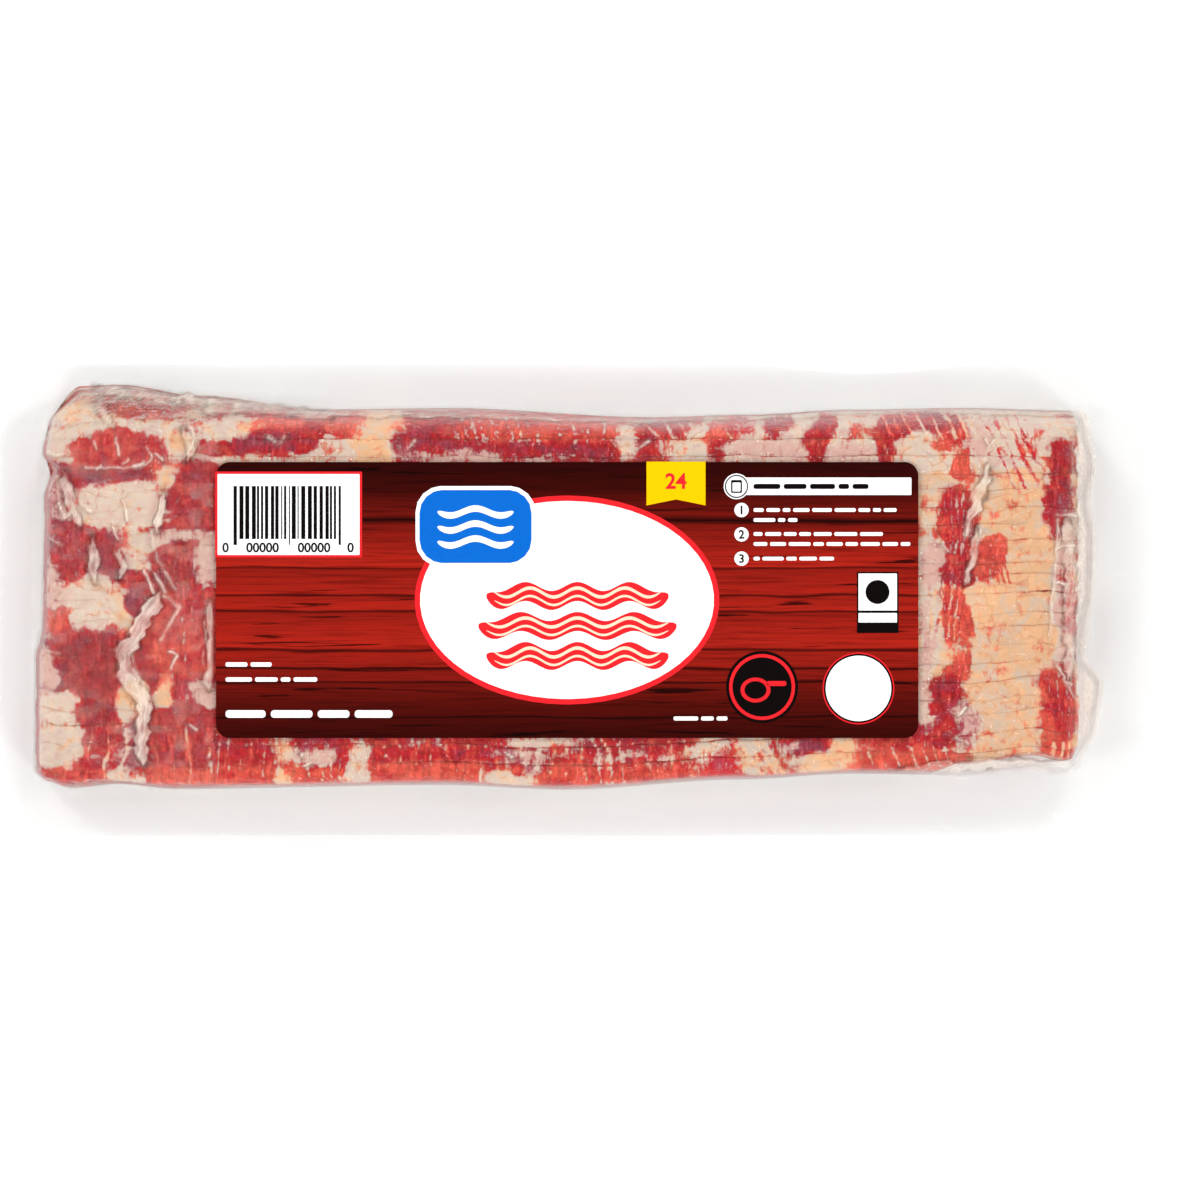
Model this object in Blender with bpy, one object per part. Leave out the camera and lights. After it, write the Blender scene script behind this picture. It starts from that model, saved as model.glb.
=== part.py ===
"""Sealed pack of sliced bacon, lying on its back with its printed front label up.

Units are metres. +X runs along the pack, +Y across it towards the edge where the last slice shows
its broad face, and +Z up from the surface that the pack lies on. The origin is on that surface,
at the middle of the film sheet's outline.
"""

import math

import bpy
import numpy as np

# Film sheet, sealed flat all round the bacon
FILM_LENGTH = 0.342
FILM_WIDTH = 0.134
FLANGE_THICKNESS = 0.0006
FLANGE_LIFT = 0.0016
SCALLOP_DEPTH = 0.0026
SCALLOP_CENTRE = 0.0755
SCALLOP_HALF_WIDTH = 0.038

# Stack of slices: they lean, and each shows one long edge at the top
SLICE_COUNT = 20
STACK_LEFT = -0.160
STACK_RIGHT = 0.140
STACK_TOP = 0.0232
GROOVE_DEPTH = 0.0012
END_GROOVE_DEPTH = 0.0008
CREST_SHARES = (0.20, 0.78)
EDGE_SWING = (0.13, 0.10)  # as shares of one slice: from slice to slice, and along the slice
LAST_EDGE_Y = 0.0453
LAST_FOOT_INSET = 0.0030
END_DROP = 0.0013
END_DROP_LENGTH = 0.022
TOP_WAVE = 0.00035

# Foot of the film round the stack, as (place along the edge, distance from the origin's axis)
BACK_FOOT = (
    (-0.162, 0.0530), (-0.156, 0.0552), (-0.148, 0.0612), (-0.137, 0.0616), (-0.114, 0.0584),
    (-0.080, 0.0545), (-0.042, 0.0549), (0.014, 0.0523), (0.043, 0.0530), (0.070, 0.0544),
    (0.103, 0.0549), (0.136, 0.0541), (0.141, 0.0510),
)
FRONT_FOOT = (
    (-0.162, -0.0505), (-0.157, -0.0520), (-0.150, -0.0536), (-0.137, -0.0525), (-0.121, -0.0539),
    (-0.045, -0.0528), (-0.010, -0.0541), (0.040, -0.0512), (0.071, -0.0496), (0.103, -0.0499),
    (0.123, -0.0475), (0.131, -0.0491), (0.141, -0.0452),
)
LEFT_FOOT = (
    (-0.054, -0.1575), (-0.048, -0.1618), (-0.017, -0.1616), (-0.006, -0.1597), (0.029, -0.1592),
    (0.037, -0.1572), (0.042, -0.1597), (0.050, -0.1580), (0.061, -0.1500),
)
RIGHT_FOOT = (
    (-0.054, 0.1300), (-0.046, 0.1362), (-0.035, 0.1412), (-0.024, 0.1426), (-0.016, 0.1374),
    (0.006, 0.1402), (0.017, 0.1405), (0.028, 0.1390), (0.038, 0.1406), (0.050, 0.1385),
    (0.061, 0.1365),
)

# Walls of the stack under the film: distance in from the foot, share of the full height there
END_WALL = ((0.0015, 0.16), (0.0033, 0.72), (0.0055, 0.95), (0.0095, 1.00))
FRONT_WALL = ((0.0005, 0.34), (0.0011, 0.70), (0.0022, 0.93))
# Sloping face of the last slice: share of the way from its top edge to the foot, share of height
BACK_SLOPE = ((0.30, 0.94), (0.62, 0.68), (0.90, 0.22))
MIDDLE_COLUMNS = 38

# Printed label, lying on the crests of the slices
LABEL_LENGTH = 0.197
LABEL_WIDTH = 0.0774
LABEL_CENTRE_X = -0.0092
LABEL_CORNER = 0.0039
LABEL_THICKNESS = 0.00035
LABEL_GAP = 0.0003
LABEL_CORNER_STEPS = 8
LABEL_MIDDLE_COLUMNS = 20
LABEL_ROWS = 11

# Colours as linear RGB, read from the real pack
BACON_RED = (0.62, 0.17, 0.13)
LABEL_RED = (0.30, 0.012, 0.008)

RINGS = 2  # flange rings of the grid between the film's outline and the foot of the stack
SHARP_ANGLE = math.radians(30)


def eased(points, at):
    """Values of a smooth line through (place, value) points, which runs level at each point."""
    place, value = np.array(points).T
    index = np.clip(np.searchsorted(place, at) - 1, 0, len(place) - 2)
    part = np.clip((at - place[index]) / (place[index + 1] - place[index]), 0, 1)
    return value[index] + (value[index + 1] - value[index]) * part**2 * (3 - 2 * part)


def crest_height(x, y):
    """Height of the slices' upper edges: level, with long waves, and lower towards both ends."""
    end = np.clip(1 - np.minimum(x - STACK_LEFT, STACK_RIGHT - x) / END_DROP_LENGTH, 0, 1)
    wave = np.sin(x / 0.031 + 0.8) * np.cos(y / 0.026 - 0.4)
    return STACK_TOP - END_DROP * end**2 + TOP_WAVE * wave


def flange_lift(x, y):
    """How far the edge of the film stands off the surface: slow waves, never below zero."""
    wave = 1 + 0.6 * np.sin(x / 0.027 + 1.1) + 0.4 * np.cos(y / 0.021 + x / 0.060)
    return FLANGE_LIFT * wave / 2


def film_back_edge(x):
    """The film's back edge: straight, with one shallow scallop."""
    part = np.clip(np.abs(x - SCALLOP_CENTRE) / SCALLOP_HALF_WIDTH, 0, 1)
    return FILM_WIDTH / 2 - SCALLOP_DEPTH * (1 + np.cos(math.pi * part)) / 2


def column_places(y):
    """X of every grid column at the heights y, the share of the stack's height at each column,
    and which way is inwards (1 or -1) on the columns of the end walls."""
    left, right = eased(LEFT_FOOT, y), eased(RIGHT_FOOT, y)
    insets, rises = zip(*END_WALL)
    shares = np.arange(1, MIDDLE_COLUMNS + 1) / (MIDDLE_COLUMNS + 1)
    start, end = left + insets[-1], right - insets[-1]
    edge = FILM_LENGTH / 2
    places = [np.full_like(y, -edge), (left - edge) / 2, left]
    places += [left + inset for inset in insets]
    places += [start + share * (end - start) for share in shares]
    places += [right - inset for inset in reversed(insets)]
    places += [right, (right + edge) / 2, np.full_like(y, edge)]
    rise = [0, 0, 0, *rises, *[1] * MIDDLE_COLUMNS, *reversed(rises), 0, 0, 0]
    wall = len(END_WALL)
    inwards = [0, 0, 0] + [1] * wall + [0] * MIDDLE_COLUMNS + [-1] * wall + [0, 0, 0]
    return np.array(places).T, np.array(rise, float), np.array(inwards)


def slice_border(number, x):
    """Share of the stack's top in front of the groove behind slice number: nearly even steps."""
    steps = SLICE_COUNT - 1
    by_slice = EDGE_SWING[0] * math.sin(2.4 * number + 1)
    along = EDGE_SWING[1] * np.sin(x / 0.045 + 1.7 * number)
    return (number + (by_slice + along) * math.sin(math.pi * number / steps)) / steps


def slice_edges(x):
    """For each slice but the last, two rows on its crest and one in the groove behind it: the
    share of the stack's top in front of each row, and how deep the row lies, from 0 to 1."""
    shares, depths = [], []
    for number in range(SLICE_COUNT - 1):
        before, groove = slice_border(number, x), slice_border(number + 1, x)
        shares += [before + share * (groove - before) for share in CREST_SHARES] + [groove]
        depths += [0, 0, 1]
    return shares, depths


def row_places(x):
    """Y of every grid row at the places x, at the top of the stack and at its foot, with the
    share of the stack's height and the depth of the groove at each row."""
    front, back = eased(FRONT_FOOT, x), eased(BACK_FOOT, x)
    front_edge, back_edge = np.full_like(x, -FILM_WIDTH / 2), film_back_edge(x)
    first, last_foot = front + FRONT_WALL[-1][0], back - LAST_FOOT_INSET
    shares, depths = slice_edges(x)
    near = [front_edge, (front_edge + front) / 2, front]
    near += [front + inset for inset, _ in FRONT_WALL]
    far = [back, (back + back_edge) / 2, back_edge]
    top = near + [first + share * (LAST_EDGE_Y - first) for share in shares]
    foot = near + [first + share * (last_foot - first) for share in shares]
    top += [LAST_EDGE_Y + share * (back - LAST_EDGE_Y) for share, _ in BACK_SLOPE] + far
    foot += [last_foot + share * (back - last_foot) for share, _ in BACK_SLOPE] + far
    rise = [0, 0, 0] + [rise for _, rise in FRONT_WALL] + [1] * len(shares)
    rise += [rise for _, rise in BACK_SLOPE] + [0, 0, 0]
    groove = np.zeros(len(top))
    groove[len(near) : len(near) + len(depths)] = depths
    return np.array(top), np.array(foot), np.array(rise, float), groove


def pouch_grid():
    """The upper and lower points of the pack, each as an array of rows by columns by XYZ. The
    slices lean more towards the back, so the grooves slant down the end walls."""
    row_y = row_places(np.zeros(1))[0][:, 0]
    x, column_rise, inwards = column_places(row_y)
    column_x = column_places(np.zeros(1))[0][0]
    top_y, foot_y, row_rise, groove = row_places(column_x)
    y = foot_y + column_rise * (top_y - foot_y)
    x = x + END_GROOVE_DEPTH * groove[:, None] * inwards * column_rise
    rows, columns = x.shape
    row, column = np.indices((rows, columns))
    ring = np.minimum.reduce([row, column, rows - 1 - row, columns - 1 - column])
    outward = 1 - np.clip(ring / RINGS, 0, 1)
    low = flange_lift(x, y) * outward**1.5
    stack = crest_height(x, y) - GROOVE_DEPTH * groove[:, None] - FLANGE_THICKNESS
    high = low + FLANGE_THICKNESS + stack * row_rise[:, None] * column_rise
    return np.dstack([x, y, high]), np.dstack([x, y, low])


def border(rows, columns, inset):
    """The (row, column) loop that lies inset cells inside a grid, anticlockwise seen from +Z."""
    last_row, last_column = rows - 1 - inset, columns - 1 - inset
    loop = [(inset, column) for column in range(inset, last_column)]
    loop += [(row, last_column) for row in range(inset, last_row)]
    loop += [(last_row, column) for column in range(last_column, inset, -1)]
    loop += [(row, inset) for row in range(last_row, inset, -1)]
    return loop


def shell_faces(rows, columns, rings):
    """Faces of a closed shell over two grids. The lower one is cut to its outer rings, and one
    flat face fills the rest; with rings of None it is whole."""
    size = rows * columns
    faces = []
    for row in range(rows - 1):
        for column in range(columns - 1):
            a = row * columns + column
            quad = (a, a + 1, a + columns + 1, a + columns)
            faces.append(quad)
            if rings is None or min(row, column, rows - 2 - row, columns - 2 - column) < rings:
                faces.append(tuple(size + corner for corner in reversed(quad)))
    outline = [row * columns + column for row, column in border(rows, columns, 0)]
    for a, b in zip(outline, outline[1:] + outline[:1]):
        faces.append((a, a + size, b + size, b))
    if rings is not None:
        inner = [size + row * columns + column for row, column in border(rows, columns, rings)]
        faces.append(tuple(reversed(inner)))
    return faces


def shell_object(name, upper, lower, rings, material):
    """Adds a closed shell between two grids of points, without the points that no face uses."""
    rows, columns = upper.shape[:2]
    points = np.concatenate([upper.reshape(-1, 3), lower.reshape(-1, 3)])
    faces = shell_faces(rows, columns, rings)
    used = sorted({corner for face in faces for corner in face})
    place = {old: new for new, old in enumerate(used)}
    mesh = bpy.data.meshes.new(name)
    mesh.from_pydata(points[used].tolist(), [], [[place[old] for old in face] for face in faces])
    mesh.shade_smooth()
    mesh.set_sharp_from_angle(angle=SHARP_ANGLE)
    mesh.materials.append(material)
    item = bpy.data.objects.new(name, mesh)
    bpy.context.scene.collection.objects.link(item)
    return item


def plain_material(name, colour, roughness):
    material = bpy.data.materials.new(name)
    material.use_nodes = True
    shader = material.node_tree.nodes["Principled BSDF"]
    shader.inputs["Base Color"].default_value = (*colour, 1)
    shader.inputs["Roughness"].default_value = roughness
    shader.inputs["Metallic"].default_value = 0
    return material


def make_pouch():
    """The bacon in its film: one solid with the slices' edges in relief and a flange all round."""
    upper, lower = pouch_grid()
    material = plain_material("bacon_under_film", BACON_RED, 0.25)
    return shell_object("sealed_pouch", upper, lower, RINGS, material)


def label_columns():
    """X of the label's columns from its centre, and half its width at each: corners are arcs."""
    turn = np.linspace(0, math.pi / 2, LABEL_CORNER_STEPS + 1)
    flat = LABEL_LENGTH / 2 - LABEL_CORNER
    corner_x = flat + LABEL_CORNER * np.sin(turn)
    corner_half = LABEL_WIDTH / 2 - LABEL_CORNER + LABEL_CORNER * np.cos(turn)
    middle_x = np.linspace(-flat, flat, LABEL_MIDDLE_COLUMNS)[1:-1]
    x = np.concatenate([-corner_x[::-1], middle_x, corner_x])
    half = np.concatenate([corner_half[::-1], np.full(middle_x.shape, LABEL_WIDTH / 2), corner_half])
    return x, half


def make_label():
    """The label: a thin sheet with round corners, which follows the stack's upper surface."""
    x, half = label_columns()
    y = np.outer(np.linspace(-1, 1, LABEL_ROWS), half)
    x = np.broadcast_to(x + LABEL_CENTRE_X, y.shape)
    low = crest_height(x, y) + LABEL_GAP
    lower = np.dstack([x, y, low])
    upper = np.dstack([x, y, low + LABEL_THICKNESS])
    material = plain_material("printed_label", LABEL_RED, 0.35)
    return shell_object("front_label", upper, lower, None, material)


def clear_scene():
    for item in list(bpy.data.objects):
        bpy.data.objects.remove(item, do_unlink=True)


clear_scene()
make_pouch()
make_label()
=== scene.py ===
"""Blender add-on: dresses a packed bacon pack with leaning slices, clear film and a printed label.

The pack lies on its back. +X runs along it, +Y across it, and Z is the height over the floor.
Sizes in this file are millimetres, and places marked "photo" are pixels of the 1200 x 1200
photograph, which looks straight down.
"""

import math

import bmesh
import bpy
import numpy as np
from bpy.props import FloatProperty, FloatVectorProperty, PointerProperty
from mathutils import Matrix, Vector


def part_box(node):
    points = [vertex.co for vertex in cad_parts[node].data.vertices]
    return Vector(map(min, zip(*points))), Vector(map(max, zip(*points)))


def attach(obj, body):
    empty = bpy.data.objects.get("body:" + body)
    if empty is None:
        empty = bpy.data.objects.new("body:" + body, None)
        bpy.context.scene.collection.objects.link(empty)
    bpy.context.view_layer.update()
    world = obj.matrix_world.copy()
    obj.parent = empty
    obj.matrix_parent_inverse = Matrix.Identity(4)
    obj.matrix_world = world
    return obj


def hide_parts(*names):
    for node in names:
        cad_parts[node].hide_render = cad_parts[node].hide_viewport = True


bl_info = {
    "name": "Bacon Pack",
    "version": (1, 0, 0),
    "blender": (4, 5, 0),
    "location": "3D View > Sidebar > Bacon Pack",
    "description": "Makes the slices, the clear film and the printed label of a bacon pack",
    "category": "Add Mesh",
}

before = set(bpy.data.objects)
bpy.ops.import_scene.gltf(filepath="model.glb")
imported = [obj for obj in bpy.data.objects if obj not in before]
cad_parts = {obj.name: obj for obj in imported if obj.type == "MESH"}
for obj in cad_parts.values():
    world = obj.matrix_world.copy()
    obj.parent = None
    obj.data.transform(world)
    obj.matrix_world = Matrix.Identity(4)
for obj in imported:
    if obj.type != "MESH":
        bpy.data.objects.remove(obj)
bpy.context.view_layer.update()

MM = 0.001
POUCH_LOW, POUCH_HIGH = (np.array(corner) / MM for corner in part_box("sealed_pouch"))
FILM_LENGTH, FILM_WIDTH = (POUCH_HIGH - POUCH_LOW)[:2]

# The photograph: millimetres for each pixel at the floor, its middle, and the camera's height
PHOTO_SCALE = 0.285
PHOTO_MIDDLE = (599.5, 600.0)
PHOTO_HALF_WIDTH = 600
CAMERA_HEIGHT = 1500.0

# The film's foot round the stack, as in the solid: (place along the edge, distance from the axis)
BACK_FOOT = (
    (-162, 53.0), (-156, 55.2), (-148, 61.2), (-137, 61.6), (-114, 58.4), (-80, 54.5), (-42, 54.9),
    (14, 52.3), (43, 53.0), (70, 54.4), (103, 54.9), (136, 54.1), (141, 51.0),
)
FRONT_FOOT = (
    (-162, -50.5), (-157, -52.0), (-150, -53.6), (-137, -52.5), (-121, -53.9), (-45, -52.8),
    (-10, -54.1), (40, -51.2), (71, -49.6), (103, -49.9), (123, -47.5), (131, -49.1), (141, -45.2),
)
LEFT_FOOT = (
    (-54, -157.5), (-48, -161.8), (-17, -161.6), (-6, -159.7), (29, -159.2), (37, -157.2),
    (42, -159.7), (50, -158.0), (61, -150.0),
)
RIGHT_FOOT = (
    (-54, 130.0), (-46, 136.2), (-35, 141.2), (-24, 142.6), (-16, 137.4), (6, 140.2), (17, 140.5),
    (28, 139.0), (38, 140.6), (50, 138.5), (61, 136.5),
)

# The stack of slices, as in the solid
SLICE_COUNT = 20
STACK_LEFT, STACK_RIGHT, STACK_TOP = -160.0, 140.0, 23.2
# How unevenly the borders are spaced, from one to the next and along each, in steps
EDGE_SWING = (0.13, 0.10)
# The first slice's border from the film's foot, the last border's y at the top, and its foot's
# distance from the film's
FIRST_EDGE_INSET, LAST_EDGE_Y, LAST_FOOT_INSET = 2.2, 45.3, 3.0
# How far the top falls towards both ends, over what length, and the height of its long waves
END_DROP, END_DROP_LENGTH, TOP_WAVE = 1.3, 22.0, 0.35
# How the film rises from its foot: 1 - exp(-(inset / size) ** power)
END_WALL = (2.9, 2.2)
FRONT_WALL = (0.96, 1.35)
BACK_SLOPE_POWER = 2.4

# The film's border: how far it waves off the floor, over what distance from the foot, the height
# of its upper skin, its seam and its lower skin, and the scallop in its back edge
FLANGE_LIFT, FLANGE_FADE = 1.6, 12.0
FLANGE_TOP, FLANGE_SEAM, FLANGE_BOTTOM = 0.45, 0.30, 0.15
SCALLOP_DEPTH, SCALLOP_CENTRE, SCALLOP_HALF_WIDTH = 2.6, 75.5, 38.0

# The label, as in the solid: its size, the gap under it, its thickness, that of each layer of
# print and the gap under one
LABEL_LENGTH, LABEL_WIDTH, LABEL_CENTRE_X, LABEL_CORNER = 197.0, 77.4, -9.2, 3.9
LABEL_GAP, LABEL_THICKNESS, PRINT_STEP, PRINT_GAP = 0.30, 0.35, 0.05, 0.01


# Small helpers


def linear(code):
    """A colour's sRGB hex value as linear RGB."""
    values = np.array([int(code[place : place + 2], 16) for place in (1, 3, 5)]) / 255
    return tuple(np.where(values <= 0.04045, values / 12.92, ((values + 0.055) / 1.055) ** 2.4))


def smooth(share):
    """0 up to a share of 0, 1 from a share of 1, and an S curve between."""
    share = np.clip(share, 0, 1)
    return share * share * (3 - 2 * share)


def eased(points, at):
    """Values of a smooth line through (place, value) points, which runs level at each point."""
    place, value = np.array(points, float).T
    index = np.clip(np.searchsorted(place, at) - 1, 0, len(place) - 2)
    part = smooth((at - place[index]) / (place[index + 1] - place[index]))
    return value[index] + (value[index + 1] - value[index]) * part


def noise(x, y, seed, tile=64):
    """Smooth noise, 0 to 1: random values at whole numbers of x and y, eased in between."""
    table = np.random.default_rng(seed).random((tile, tile))
    column, row = np.floor(x).astype(int), np.floor(y).astype(int)
    a, b = smooth(x - column), smooth(y - row)
    near, far, low, high = column % tile, (column + 1) % tile, row % tile, (row + 1) % tile
    bottom = table[near, low] * (1 - a) + table[far, low] * a
    top = table[near, high] * (1 - a) + table[far, high] * a
    return bottom * (1 - b) + top * b


def cloudy(x, y, seed, layers=3):
    """Noise, -1 to 1, in layers, each half as strong and twice as fine as the one before."""
    total, strength = 0.0, 0.0
    for layer in range(layers):
        share = 0.5**layer
        total = total + share * (2 * noise(x * 2**layer, y * 2**layer, seed + layer) - 1)
        strength += share
    return total / strength


def to_photo(x, y, z):
    """The pixel of the photograph that shows a place: nearer the camera, a pixel is smaller."""
    scale = PHOTO_SCALE * (1 - z / CAMERA_HEIGHT)
    return PHOTO_MIDDLE[0] + x / scale, PHOTO_MIDDLE[1] - y / scale


def from_photo(column, row, z):
    """The place at height z that a pixel of the photograph shows."""
    scale = PHOTO_SCALE * (1 - z / CAMERA_HEIGHT)
    return (column - PHOTO_MIDDLE[0]) * scale, (PHOTO_MIDDLE[1] - row) * scale


# The pack's form


def crest_height(x, y):
    """Height of the slices' upper edges: level, with long waves, and lower towards both ends."""
    end = np.clip(1 - np.minimum(x - STACK_LEFT, STACK_RIGHT - x) / END_DROP_LENGTH, 0, 1)
    wave = np.sin(x / 31 + 0.8) * np.cos(y / 26 - 0.4)
    return STACK_TOP - END_DROP * end**2 + TOP_WAVE * wave


def slice_border(number, x):
    """Share of the stack's top in front of border number: nearly even steps."""
    steps = SLICE_COUNT - 1
    swing = EDGE_SWING[0] * math.sin(2.4 * number + 1) + EDGE_SWING[1] * np.sin(x / 45 + 1.7 * number)
    return (number + swing * math.sin(math.pi * number / steps)) / steps


def border_line(number, x, height):
    """Y of the border between two slices at a height share: the borders fan out to the foot."""
    first = eased(FRONT_FOOT, x) + FIRST_EDGE_INSET
    last = eased(BACK_FOOT, x) - LAST_FOOT_INSET
    last = last + height * (LAST_EDGE_Y - last)
    return first + slice_border(number, x) * (last - first)


def wall(inset, size, power):
    """Share of the full height at a distance in from the film's foot."""
    return 1 - np.exp(-((np.maximum(inset, 0) / size) ** power))


def outside(x, y):
    """Distance outside the film's foot, 0 within it."""
    away = [eased(LEFT_FOOT, y) - x, x - eased(RIGHT_FOOT, y)]
    away += [eased(FRONT_FOOT, x) - y, y - eased(BACK_FOOT, x)]
    return np.maximum(np.maximum.reduce(away), 0)


def flange_lift(x, y):
    """How far the film's border stands off the floor: slow waves that fade out at the foot."""
    wave = 1 + 0.6 * np.sin(x / 27 + 1.1) + 0.4 * np.cos(y / 21 + x / 60)
    return FLANGE_LIFT * wave / 2 * smooth(outside(x, y) / FLANGE_FADE)


def ends_share(x, y):
    """Share of the full height that the two end walls leave."""
    return wall(x - eased(LEFT_FOOT, y), *END_WALL) * wall(eased(RIGHT_FOOT, y) - x, *END_WALL)


def film_form(x, y):
    """Height of the tight film without its folds: flat border, steep walls, level top and the
    long slope down the last slice's face."""
    share = (y - LAST_EDGE_Y) / (eased(BACK_FOOT, x) - LAST_EDGE_Y)
    slope = 1 - np.clip(share, 0, 1) ** BACK_SLOPE_POWER
    rise = ends_share(x, y) * wall(y - eased(FRONT_FOOT, x), *FRONT_WALL) * slope
    low = flange_lift(x, y) + FLANGE_TOP
    return low + (crest_height(x, y) - low) * rise


def label_inset(x, y):
    """Distance inside the label's straight edges, below 0 outside them."""
    return np.minimum(LABEL_LENGTH / 2 - np.abs(x - LABEL_CENTRE_X), LABEL_WIDTH / 2 - np.abs(y))


# Meshes and materials


def grid_faces(rows, columns, around=False, start=0):
    """Quads of a grid of points, with the last column joined to the first if it goes around."""
    row, column = np.indices((rows - 1, columns if around else columns - 1))
    after = (column + 1) % columns
    quads = [row * columns + column, row * columns + after]
    quads += [(row + 1) * columns + after, (row + 1) * columns + column]
    return np.stack(quads, -1).reshape(-1, 4) + start


def add_mesh(name, points, faces, material, fields=None, sharp_angle=None):
    """A piece from points in millimetres and a list of face arrays. fields gives each point's
    values by attribute name: one number, or three as a colour."""
    mesh = bpy.data.meshes.new(name)
    mesh.vertices.add(len(points))
    mesh.vertices.foreach_set("co", (np.asarray(points) * MM).astype(np.float32).ravel())
    corners = np.concatenate([part.ravel() for part in faces])
    sizes = np.concatenate([np.full(len(part), part.shape[1]) for part in faces])
    mesh.loops.add(len(corners))
    mesh.loops.foreach_set("vertex_index", corners.astype(np.int32))
    mesh.polygons.add(len(sizes))
    mesh.polygons.foreach_set("loop_start", (np.cumsum(sizes) - sizes).astype(np.int32))
    mesh.update(calc_edges=True)
    mesh.validate()
    mesh.shade_smooth()
    if sharp_angle:
        mesh.set_sharp_from_angle(angle=sharp_angle)
    for key, values in (fields or {}).items():
        if values.ndim == 1:
            mesh.attributes.new(key, "FLOAT", "POINT").data.foreach_set("value", values)
        else:
            colour = np.column_stack([values, np.ones(len(values))])
            mesh.attributes.new(key, "FLOAT_COLOR", "POINT").data.foreach_set("color", colour.ravel())
    mesh.materials.append(material)
    piece = bpy.data.objects.new(name, mesh)
    bpy.context.scene.collection.objects.link(piece)
    return piece


def add(tree, kind, inputs=(), stops=(), **settings):
    """Adds a shader node with its settings, its inputs by name or in order, and a colour ramp's
    (place, linear RGB) stops. An input is a value, or a socket or node to link from: a node gives
    its first live output."""
    node = tree.nodes.new("ShaderNode" + kind)
    for key, value in settings.items():
        setattr(node, key, value)
    for key, value in inputs.items() if isinstance(inputs, dict) else enumerate(inputs):
        if isinstance(value, bpy.types.Node):
            value = next(socket for socket in value.outputs if socket.enabled)
        if isinstance(value, bpy.types.NodeSocket):
            tree.links.new(value, node.inputs[key])
        else:
            node.inputs[key].default_value = value
    for number, (place, colour) in enumerate(stops):
        elements = node.color_ramp.elements
        element = elements[number] if number < len(elements) else elements.new(place)
        element.position = place
        element.color = (*colour, 1)
    return node


def new_material(name):
    """An empty node material, its tree and the socket of its surface."""
    material = bpy.data.materials.new(name)
    material.use_nodes = True
    material.node_tree.nodes.clear()
    output = add(material.node_tree, "OutputMaterial")
    return material, material.node_tree, output.inputs["Surface"]


def add_noises(tree, value, noises):
    """A value plus share * (pattern - 0.5) for each (pattern, share)."""
    for pattern, share in noises:
        centred = add(tree, "Math", [pattern, share, -share / 2], operation="MULTIPLY_ADD")
        value = add(tree, "Math", [value, centred])
    return value


def unit_sizes(x, y, z):
    """The Mapping scale that makes one unit of a pattern x, y and z millimetres long."""
    return 1 / (x * MM), 1 / (y * MM), 1 / (z * MM)


# The slices

# Kinds of meat: share of lean, tone (0 pink or mauve, 0.5 plain, 1 orange) and lightness
MEAT_KINDS = {
    "lean": (0.95, 0.50, 0.50),
    "bright lean": (0.94, 0.62, 0.62),
    "dark lean": (1.0, 0.50, 0.40),
    "orange lean": (0.85, 0.85, 0.62),
    "pale lean": (0.62, 0.45, 0.85),
    "brown lean": (0.75, 0.80, 0.35),
    "mauve": (0.9, 0.20, 0.50),
    "pale mauve": (0.3, 0.05, 0.60),
    "fat": (0.1, 0.50, 0.70),
    "white fat": (0.0, 0.45, 1.00),
    "pink fat": (0.15, 0.12, 0.65),
    "tan fat": (0.22, 0.75, 0.35),
    "orange fat": (0.08, 0.90, 0.75),
}
# What shows at the +Y edge, the -Y edge and both ends, each as (kind, left, right, top, bottom)
# in pixels of the photograph. Later ones lie over earlier ones.
BACK_EDGE_PATCHES = (
    ("fat", 196, 236, 418, 440), ("orange fat", 236, 264, 416, 436), ("orange lean", 262, 342, 414, 434),
    ("lean", 200, 234, 440, 456), ("mauve", 236, 304, 433, 456), ("lean", 300, 324, 418, 454),
    ("fat", 205, 340, 455, 467), ("fat", 316, 356, 430, 464),
    ("orange fat", 350, 406, 410, 464), ("orange lean", 322, 356, 414, 431),
    ("lean", 402, 452, 414, 438), ("pale mauve", 392, 424, 440, 464), ("lean", 394, 410, 434, 448),
    ("mauve", 424, 532, 436, 451), ("pink fat", 424, 500, 451, 464), ("orange lean", 450, 622, 416, 446),
    ("mauve", 500, 616, 444, 457), ("pink fat", 520, 560, 457, 464), ("fat", 614, 640, 420, 462),
    ("lean", 638, 690, 420, 442), ("dark lean", 612, 622, 446, 460), ("lean", 640, 662, 444, 462),
    ("fat", 662, 712, 442, 464), ("fat", 688, 1080, 404, 470), ("orange lean", 704, 728, 416, 441),
    ("lean", 709, 734, 441, 464), ("pale lean", 728, 754, 418, 436), ("lean", 764, 788, 412, 438),
    ("pink fat", 734, 806, 442, 464), ("lean", 808, 828, 418, 464), ("orange lean", 850, 868, 426, 438),
    ("pink fat", 828, 878, 444, 464), ("lean", 871, 905, 412, 440), ("lean", 878, 897, 443, 464),
    ("lean", 905, 968, 412, 434), ("orange lean", 930, 964, 430, 452),
)
FRONT_EDGE_PATCHES = (
    ("orange lean", 60, 700, 764, 790), ("fat", 115, 141, 768, 790), ("fat", 275, 289, 736, 746),
    ("orange fat", 273, 289, 749, 766), ("pink fat", 296, 338, 750, 768), ("orange fat", 276, 295, 768, 790),
    ("fat", 343, 370, 738, 790), ("pink fat", 436, 446, 736, 748), ("orange lean", 436, 444, 748, 768),
    ("white fat", 508, 558, 736, 747), ("pale mauve", 494, 545, 751, 768), ("fat", 486, 527, 774, 790),
    ("fat", 693, 722, 736, 765), ("pale lean", 704, 734, 755, 785), ("lean", 768, 830, 736, 756),
    ("pink fat", 782, 800, 740, 752), ("mauve", 800, 830, 738, 752), ("orange fat", 800, 834, 756, 780),
    ("orange fat", 828, 858, 740, 775), ("lean", 856, 956, 722, 750), ("orange lean", 858, 963, 749, 780),
)
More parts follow.
